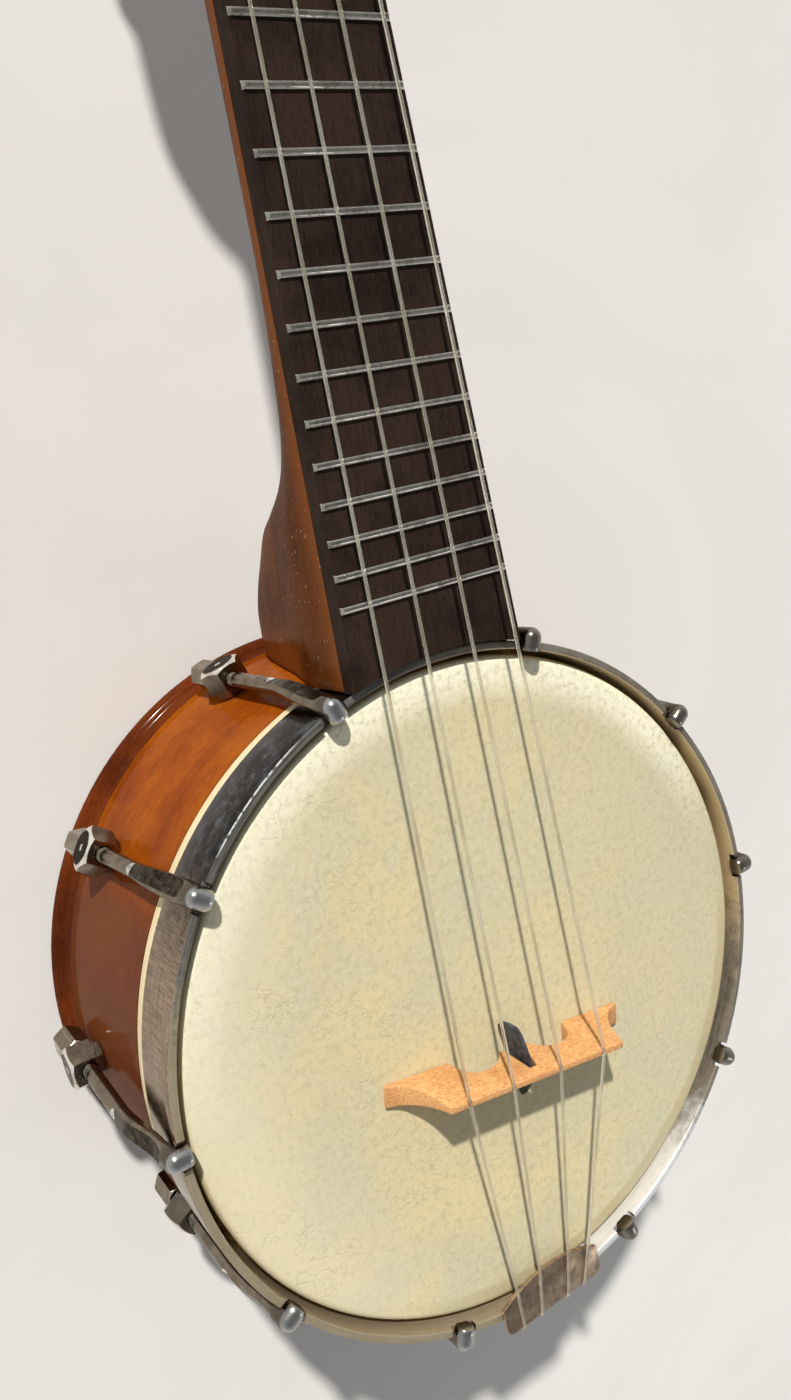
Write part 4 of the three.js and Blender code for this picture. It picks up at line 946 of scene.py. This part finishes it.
def hook_mesh():
    claw_end = HOOP_RADIUS - CLAW_REACH
    notch = ARM_TOP - NOTCH_DEPTH
    piece = new_piece("hook_master", arm_shape(), hook_nickel)
    # The milled flat takes the dark facet nickel, a painted dark reflection.
    carved(piece, facet_shape(), material=facet_nickel)
    carved(piece, claw_shape(claw_end + 1.5, ARM_FACE + CLAW_PROUD - CLAW_RADIUS), "UNION")
    carved(piece, box_shape((ARM_FACE - 12, -6, notch - 8), (ARM_FACE, 6, notch + FIT)))
    carved(piece, box_shape((ARM_FACE - 12, -6, ARM_TOP - 8), (claw_end, 6, ARM_TOP + 8)))
    low = ARM_LOW - ROD_LENGTH
    carved(piece, threaded_rod(low, ARM_LOW - 3.9, low + 1, SHOE_FLATS / 2 + 3.6), "UNION")
    tidy_mesh(piece.data, 28)
    mesh = piece.data
    facet = mesh.materials.find(facet_nickel.name)
    # Painted highlight: the flat's scooped start takes the bright nickel.
    mesh.materials.append(bright_nickel)
    for face in mesh.polygons:
        if face.material_index == facet and face.normal.x < 0.93 and face.center.z < (ARM_LOW + 3) * MM:
            face.material_index = len(mesh.materials) - 1
    bpy.data.objects.remove(piece)
    return mesh


def turned_hexagon(name, flats, profile):
    """A six-sided bar along Z with two flats square to X, its ends turned down to (radius, height) points."""
    corner = flats / math.sqrt(3)
    outline = [(corner * math.cos(a + math.pi / 6), corner * math.sin(a + math.pi / 6)) for a in around(6)]
    piece = new_piece(name, prism(outline, profile[0][1] - 1, profile[-1][1] + 1), shoe_nickel)
    return carved(piece, lathe(profile, 96), "INTERSECT")


def finished_mesh(piece, width, axis, low, high):
    """The piece's mesh with the rod's hole: its edges just broken, its ends dark as a painted reflection and its
    chamfers bright as painted highlights.
    """
    carved(piece, moved(cylinder(ROD_RADIUS + FIT, low, high, 40), pose((ROD_AXIS, 0, 0))))
    even_normals(piece, width)
    mesh = piece.data
    for material in (face_nickel, bright_nickel):
        mesh.materials.append(material)
    for face in mesh.polygons:
        tilt = abs(face.normal[axis])
        face.material_index = 1 if tilt > 0.96 and face.area > 1e-7 else 2 if 0.2 < tilt <= 0.96 else 0
    bpy.data.objects.remove(piece)
    return mesh


def shoe_mesh():
    root = POT_RADIUS + FIT
    start = root + SHOE_BASE
    end = start + SHOE_BODY + SHOE_CHAMFER
    corner = SHOE_FLATS / math.sqrt(3)
    base_corner = SHOE_BASE_FLATS / math.sqrt(3)
    piece = turned_hexagon("shoe_master", SHOE_FLATS, [
        (0, start), (corner - 0.95, start), (corner + 0.05, start + 0.62), (corner + 0.05, end - 0.98),
        (SHOE_FACE_RADIUS, end), (0.9, end), (0.5, end - 0.2), (0, end - 0.3)])
    base_top = start + 0.5
    base = turned_hexagon("base", SHOE_BASE_FLATS, [
        (0, root), (base_corner - 0.5, root), (base_corner, root + 0.4), (base_corner, base_top), (0, base_top)])
    joined(piece, base, "UNION")
    piece.data.transform(pose((0, 0, 0), 90, "Y"))
    return finished_mesh(piece, 0.13, 0, -9, 9)


def nut_mesh():
    corner = NUT_FLATS / math.sqrt(3)
    top = -SHOE_FLATS / 2 - FIT
    low = top - NUT_LENGTH
    piece = turned_hexagon("nut_master", NUT_FLATS, [
        (0, low), (corner - 0.75, low), (corner + 0.02, low + 0.5), (corner + 0.02, top - 0.5),
        (corner - 0.75, top), (0, top)])
    piece.data.transform(pose((ROD_AXIS * MM, 0, 0)))
    return finished_mesh(piece, 0.12, 2, low - 5, top + 5)


hook_shape, shoe_shape, nut_shape = hook_mesh(), shoe_mesh(), nut_mesh()
for k, (claw, lean) in enumerate(zip(CLAW_ANGLES, CLAW_LEANS), 1):
    for name, mesh, node, body in ((f"steel_hook_{k}", hook_shape, f"hook_{k}", f"hook_{k}"),
                                   (f"shoe_barrel_{k}", shoe_shape, f"bracket_shoe_{k}", "pot"),
                                   (f"long_nut_{k}", nut_shape, f"bracket_nut_{k}", f"nut_{k}")):
        own = mesh.copy()
        own.transform(bracket_matrix(claw, lean))
        dress(place_mesh(name, own), node, body)


# Neck, headstock, fretboard and nut
HEAD_PLACE = pose((0, HEAD_START, NECK_TOP), -HEAD_TILT, "X")
NUT_PLACES = evenly(-NUT_SPREAD / 2, NUT_SPREAD / 2, 3)


def neck_half(y):
    share = (y - NECK_START) / (STRING_NUT_Y - NECK_START)
    return HEEL_HALF_WIDTH + (NUT_HALF_WIDTH - HEEL_HALF_WIDTH) * share


def make_neck():
    """The shaft and heel: half sections from the top edge to the keel, hollowed at the pot."""
    places = evenly(NECK_START, NECK_START + HEEL_LENGTH, 60)
    places += evenly(places[-1], HEAD_START + 3, 30)[1:]
    rings = []
    for y in places:
        heel = table_at(HEEL_DEPTH_SHARES, (y - NECK_START) / HEEL_LENGTH)
        depth = NECK_DEPTH + (HEEL_DEPTH - NECK_DEPTH) * heel
        blend = smooth((y - NECK_START) / 40)
        right = []
        for share in SECTION_SHARES:
            wide = table_at(HEEL_WIDTHS, share) * heel + table_at(SHAFT_WIDTHS, share) * (1 - heel)
            x = neck_half(min(y, STRING_NUT_Y)) * wide
            near = math.sqrt(NECK_START ** 2 - x * x)
            along = near + (y - NECK_START) * (HEAD_START - near) / (HEAD_START - NECK_START)
            right.append((x, along * (1 - blend) + y * blend, NECK_TOP - depth * share))
        rings.append(right + mirrored(right))
    piece = new_piece("neck_and_heel", loft(rings), neck_wood, corner=40)
    bevelled(piece, 0.5, segments=3, angle=50, corner=50)
    dress(piece, "neck")


def make_headstock():
    shares = [((NUT_HALF_WIDTH - FIT) / HEAD_HALF_WIDTH, 0), *HEADSTOCK_SHARES]
    right = curve_through([(x * HEAD_HALF_WIDTH, y * HEAD_LENGTH) for x, y in shares], 6)
    slab = prism(right + mirrored(right[:-1]), -HEAD_THICK, -0.05)
    piece = new_piece("headstock", moved(slab, HEAD_PLACE), neck_wood)
    for x, y in PEG_PLACES:
        carved(piece, moved(cylinder(PEG_RADIUS + FIT, -30, 10, 32), HEAD_PLACE @ pose((x, y, 0))))
    bevelled(piece, 0.8, segments=3, angle=50, corner=40)
    dress(piece, "neck")


def make_fretboard():
    low, edge = NECK_TOP + FIT, 0.5
    rings = []
    for y in evenly(RIM_INSIDE, STRING_NUT_Y - FIT, 24):
        half = neck_half(y)
        right = [(half, y, low), (half, y, BOARD_TOP - edge), (half - edge, y, BOARD_TOP)]
        rings.append(right + mirrored(right))
    piece = new_piece("fret_board", loft(rings), ebony)
    carved(piece, cylinder(NECK_START, 0, 120, RINGS))
    tidy_mesh(piece.data, 30)
    dress(piece, "fretboard")


def make_frets():
    """Round crowns over the whole width, that drop at both ends."""
    base, crown = BOARD_TOP - 0.1, 1.1
    shapes = []
    for k in range(1, FRET_COUNT + 1):
        y = STRING_NUT_Y - SCALE_LENGTH * (1 - 2 ** (-k / 12))
        half = neck_half(y) - 0.5
        shapes.append(loft([
            [(x, y + math.cos(a), base + crown * share * max(math.sin(a), 0)) for a in evenly(0, math.pi, 8)]
            for x, share in ((-half, 0.25), (-half + 0.6, 1), (half - 0.6, 1), (half, 0.25))]))
    dress(new_piece("fret_wires", merged(shapes), fret_nickel), "fretboard")


def make_string_nut():
    low, top, end = NECK_TOP + FIT, BOARD_TOP + NUT_PROUD, HEAD_START - FIT
    near = STRING_NUT_Y
    outline = rounded([(near, low), (end, low), (end, BOARD_TOP), (near + 1.2, top), (near, top)], 0.5)
    piece = new_piece("bone_nut", prism(outline, -NUT_HALF_WIDTH, NUT_HALF_WIDTH, across=True), bone)
    wide = STRING_RADIUS + FIT
    groove = top - STRING_GROOVE
    for x in NUT_PLACES:
        carved(piece, box_shape((x - wide, near - 2, groove), (x + wide, HEAD_START + 2, top + 2)))
    bevelled(piece, 0.2, angle=40)
    dress(piece, "string_nut")


make_neck()
make_headstock()
make_fretboard()
make_frets()
make_string_nut()

# Bridge and the plate in its slot
BRIDGE_PLACE = pose((BRIDGE_X, BRIDGE_Y, HEAD_Z + FIT), BRIDGE_TURN)


def make_bridge():
    """Two feet, two arches, a split middle leg, and a groove for each string."""
    half = BRIDGE_LENGTH / 2
    rake = half - BRIDGE_TOP_LENGTH / 2
    leg, tip = 4.6, 2.7
    span = half - BRIDGE_FOOT_LENGTH - leg
    arch = [(leg, tip), *((leg + span * x, BRIDGE_ARCH_HEIGHT * z) for x, z in BRIDGE_ARCH_SHARES)]
    flank = [(half, 0.9), *((half - rake * x, BRIDGE_HEIGHT * z) for x, z in BRIDGE_FLANK_SHARES)]
    right = [(1.2, 11.4), (3.0, tip), *curve_through(arch, 5), (half - 0.3, 0), *curve_through(flank, 5)]
    wide = STRING_RADIUS + 0.12
    groove = ((wide, 0), (wide * 0.8, STRING_GROOVE), (-wide * 0.8, STRING_GROOVE), (-wide, 0))
    crest = [(x + off, BRIDGE_HEIGHT - drop) for x in reversed(STRING_PLACES) for off, drop in groove]
    foot = BRIDGE_FOOT_THICK / 2
    back = BRIDGE_BACK_LEAN - foot
    outline = right + crest + mirrored(right)
    rings = [[(x, low + (top - low) * z / BRIDGE_HEIGHT, z) for x, z in outline]
             for low, top in ((-foot, back), (foot, back + BRIDGE_TOP_THICK))]
    piece = new_piece("maple_bridge", moved(loft(rings), BRIDGE_PLACE), maple)
    bevelled(piece, 0.28, segments=3, angle=28, corner=40)
    dress(piece, "bridge")


def make_plate():
    outline = rounded([(PLATE_LENGTH * y, 0.6 + PLATE_HEIGHT * z) for y, z in PLATE_SHARES], 2, steps=3)
    shape = moved(prism(outline, -0.45, 0.45, across=True), BRIDGE_PLACE @ pose((-0.2, 0, 0), PLATE_TURN))
    piece = new_piece("dark_leaf", shape, dark_plate)
    bevelled(piece, 0.3, segments=3, angle=40, corner=30)
    dress(piece, "slot_plate", "plate")


make_bridge()
make_plate()


# Tailpiece and its bolt
def arch_at(share):
    crown, shoulder = TAIL_CROWN_IN - HOOP_RADIUS, TAIL_SHOULDER_IN - HOOP_RADIUS
    return crown + (shoulder - crown) * share * share


def make_tailpiece():
    """An arched plate with an apron over the hoop's edge, and a strap down to the bolt."""
    half = TAIL_HALF_WIDTH
    arch = [(half * share, arch_at(share)) for share in evenly(1, -1, 28)]
    corners = rounded([(-half, TAIL_OUT), (half, TAIL_OUT), (half, -80), (-half, -80)], 2.4)
    outline = [(x + TAIL_X, y) for x, y in arch + [corner for corner in corners if corner[1] < -88]]
    piece = new_piece("arched_plate", prism(outline, TAIL_TOP - TAIL_THICK, TAIL_TOP), tail_nickel)
    for wide, low, high in ((half - TAIL_CORNER, TAIL_TOP - 5, TAIL_TOP - 0.4),
                            (STRAP_WIDTH / 2, DOWEL_Z - 8, TAIL_TOP - 2)):
        carved(piece, box_shape((TAIL_X - wide, TAIL_OUT, low), (TAIL_X + wide, TAIL_Y, high)), "UNION")
    carved(piece, moved(cylinder(2.6, -3, 3, 24), pose((TAIL_X, TAIL_Y, DOWEL_Z), 90, "X")))
    bevelled(piece, 0.3, segments=3, angle=40, corner=35)
    dress(piece, "tailpiece")


def make_end_bolt():
    corner = 5
    profile = [(0, 0), (corner - 0.4, 0), (corner, 0.3), (corner, 3.1), (corner - 1.4, 4), (0, 4)]
    piece = turned_hexagon("end_bolt_hex", corner * math.sqrt(3), profile)
    carved(piece, lathe([(0, -34), (2, -34), (2.3, -33.7), (2.3, 0.5), (0, 0.5)], 32), "UNION")
    piece.data.transform(pose(Vector((TAIL_X, TAIL_OUT - FIT, DOWEL_Z)) * MM, 90, "X"))
    even_normals(piece, 0.12)
    dress(piece, "end_bolt")


make_tailpiece()
make_end_bolt()


# Strings
def peg_coil(x, y):
    """The turns on a peg's post, from their far end to where the string leaves for the nut."""
    middle = HEAD_PLACE @ Vector((x, y, STRING_AT_POST))
    up = HEAD_PLACE.to_3x3() @ Vector((0, 0, 1))
    across = Vector((1, 0, 0))
    inward = -math.copysign(1, x)
    radius = POST_WAIST + 0.1 + STRING_RADIUS
    coil = []
    for share in evenly(1, 0, 48):
        a = 2 * math.pi * COIL_TURNS * share
        side = across * inward * math.cos(a) - up.cross(across) * math.sin(a)
        coil.append(middle + side * radius + up * COIL_LENGTH * (0.5 - share))
    return coil


def knot_path(centre):
    """A trefoil knot, pulled tight."""
    turn = Matrix.Rotation(math.pi / 2, 3, "Y")
    path = []
    for a in evenly(0, 2 * math.pi * 0.98, 29):
        across = 0.42 * (math.sin(a) + 2 * math.sin(2 * a))
        along = 0.36 * (math.cos(a) - 2 * math.cos(2 * a))
        path.append(centre + turn @ Vector((across, along, -0.42 * math.sin(3 * a))))
    return path


def make_string(k):
    """From the turns on the peg over the nut and the bridge to the knot under the tailpiece's edge."""
    rest = STRING_RADIUS + FIT - STRING_GROOVE
    nut_x, nut_z = NUT_PLACES[k], BOARD_TOP + NUT_PROUD + rest
    middle = -BRIDGE_FOOT_THICK / 2 + BRIDGE_BACK_LEAN + BRIDGE_TOP_THICK / 2
    crest = BRIDGE_PLACE @ Vector((STRING_PLACES[k], middle, BRIDGE_HEIGHT + rest))
    lift = TAIL_TOP + STRING_RADIUS + 0.05
    edge = TAIL_OUT - STRING_RADIUS - 0.05
    arch_x, edge_x = TAIL_ARCH_PLACES[k], TAIL_X + TAIL_EDGE_PLACES[k]
    path = [*peg_coil(*PEG_PLACES[k]), (nut_x, HEAD_START - 1, nut_z), (nut_x, STRING_NUT_Y, nut_z), crest,
            (TAIL_X + arch_x, arch_at(arch_x / TAIL_HALF_WIDTH) + 0.3, lift), (edge_x, edge + 0.9, lift),
            (edge_x, edge + 0.2, lift - 0.25), (edge_x, edge, lift - 0.9), (edge_x, edge, lift - 2.2)]
    knot = knot_path(Vector((edge_x, edge - 0.3, lift - 2.9)))
    shape = merged([tube(path, STRING_RADIUS, 16), tube(knot, STRING_RADIUS * 0.95, 10)])
    dress(new_piece(f"nylon_{k + 1}", shape, nylon, corner=60), f"string_{k + 1}")


for k in range(4):
    make_string(k)


# Tuning pegs
def button_shape(top):
    """A short stem and a flat wing."""
    inside = PEG_RADIUS + 0.2
    stem = [(inside, top), (4.6, top), (4.5, top - 2), (3.6, top - 4), (3.4, top - 6), (inside, top - 6)]
    wing = []
    for b in evenly(0, math.pi, 12):
        z = top - 11.5 - 7.5 * math.cos(b)
        half = 8.5 * max(math.sin(b), 0.02) ** 0.8
        thick = 3.25 * max(math.sin(b), 0.05) ** 0.5
        wing.append([(half * math.cos(a), thick * bulge(math.sin(a), 0.9), z) for a in around(32)])
    return merged([lathe(stem, 32), loft(wing)])


def make_pegs():
    """Posts, collars and buttons."""
    under = -HEAD_THICK - 13
    waist = POST_WAIST + 0.1
    inside = PEG_RADIUS + 0.3
    middle = STRING_AT_POST
    post = lathe([(0, under), (PEG_RADIUS, under), (PEG_RADIUS, middle - 2.2), (waist, middle - 1.5),
                  (POST_WAIST, middle), (waist, middle + 1.5), (PEG_RADIUS, middle + 2.2),
                  (PEG_RADIUS, 10.4), (PEG_RADIUS - 0.15, 10.8), (PEG_RADIUS - 0.6, 11), (0, 11)], 32)
    collar = lathe([(inside, 0.05), (5.6, 0.05), (5.6, 0.7), (5.2, 1.2), (4.4, 1.45), (inside, 1.45)], 40)
    wing = button_shape(-HEAD_THICK - FIT - 1.2)
    for k, (x, y) in enumerate(PEG_PLACES, 1):
        spot = HEAD_PLACE @ pose((x, y, 0))
        for name, shape, material, corner, slot, node, body in (
                ("peg_post", post, shoe_nickel, 35, "nickel", "tuning_peg", f"peg_{k}"),
                ("collar_ring", collar, shoe_nickel, 35, "nickel", "peg_collar", "pot"),
                ("button_wing", wing, button, 50, "button", "peg_button", f"peg_{k}")):
            dress(new_piece(f"{name}_{k}", moved(shape, spot), material, corner), f"{node}_{k}", body)


make_pegs()

# The CAD's own pieces that stay
for node, material in (("flesh_hoop", brass), ("dowel_stick", inner_wood)):
    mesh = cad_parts[node].data
    mesh.materials.clear()
    mesh.materials.append(material)

# Floor, light and camera
floor_material = plastic("floor", (226, 224, 220), (232, 230, 226), 0.004, (0.7, 0.8))
floor_corners = [(x * FLOOR_HALF, y * FLOOR_HALF, -0.1) for x, y in ((-1, -1), (1, -1), (1, 1), (-1, 1))]
floor = new_piece("floor", (floor_corners, [[0, 1, 2, 3]]), floor_material)


def make_world():
    """A pale studio: brightest at the horizon, dimmer overhead."""
    world = bpy.data.worlds.new("studio")
    scene.world = world
    world.use_nodes = True
    tree = world.node_tree
    background = tree.nodes["Background"]
    place = tree.nodes.new("ShaderNodeTexCoord")
    split = tree.nodes.new("ShaderNodeSeparateXYZ")
    level = tree.nodes.new("ShaderNodeMapRange")
    for socket, value in zip(level.inputs[1:5], (0.0, 0.9, HORIZON_LIGHT, TOP_LIGHT)):
        socket.default_value = value
    tree.links.new(place.outputs["Generated"], split.inputs[0])
    tree.links.new(split.outputs["Z"], level.inputs[0])
    tree.links.new(level.outputs[0], background.inputs["Strength"])
    background.inputs["Color"].default_value = (0.96, 0.98, 1, 1)


def lamp(name, kind, way, distance, **settings):
    """A lamp that shines at the pot from one way."""
    data = bpy.data.lights.new(name, kind)
    for key, value in settings.items():
        setattr(data, key, value)
    light = bpy.data.objects.new(name, data)
    light.matrix_world = Matrix.Translation(way * distance) @ way.to_track_quat("Z", "Y").to_matrix().to_4x4()
    scene.collection.objects.link(light)


make_world()
lamp("key", "SUN", KEY_WAY, 1, energy=4.0, angle=math.radians(2.2), color=(1, 0.97, 0.92))
lamp("card", "AREA", CARD_WAY, CARD_DISTANCE, shape="DISK", size=0.42, energy=0.8)

camera_data = bpy.data.cameras.new("camera")
camera_data.sensor_width = 36
camera_data.lens = 27.006
camera_data.clip_start = 0.01
camera = bpy.data.objects.new("camera", camera_data)
camera.matrix_world = Matrix.Translation(CAMERA_SPOT) @ Matrix(CAMERA_AXES).transposed().to_4x4()
scene.collection.objects.link(camera)
scene.camera = camera
scene.view_settings.view_transform = "Standard"
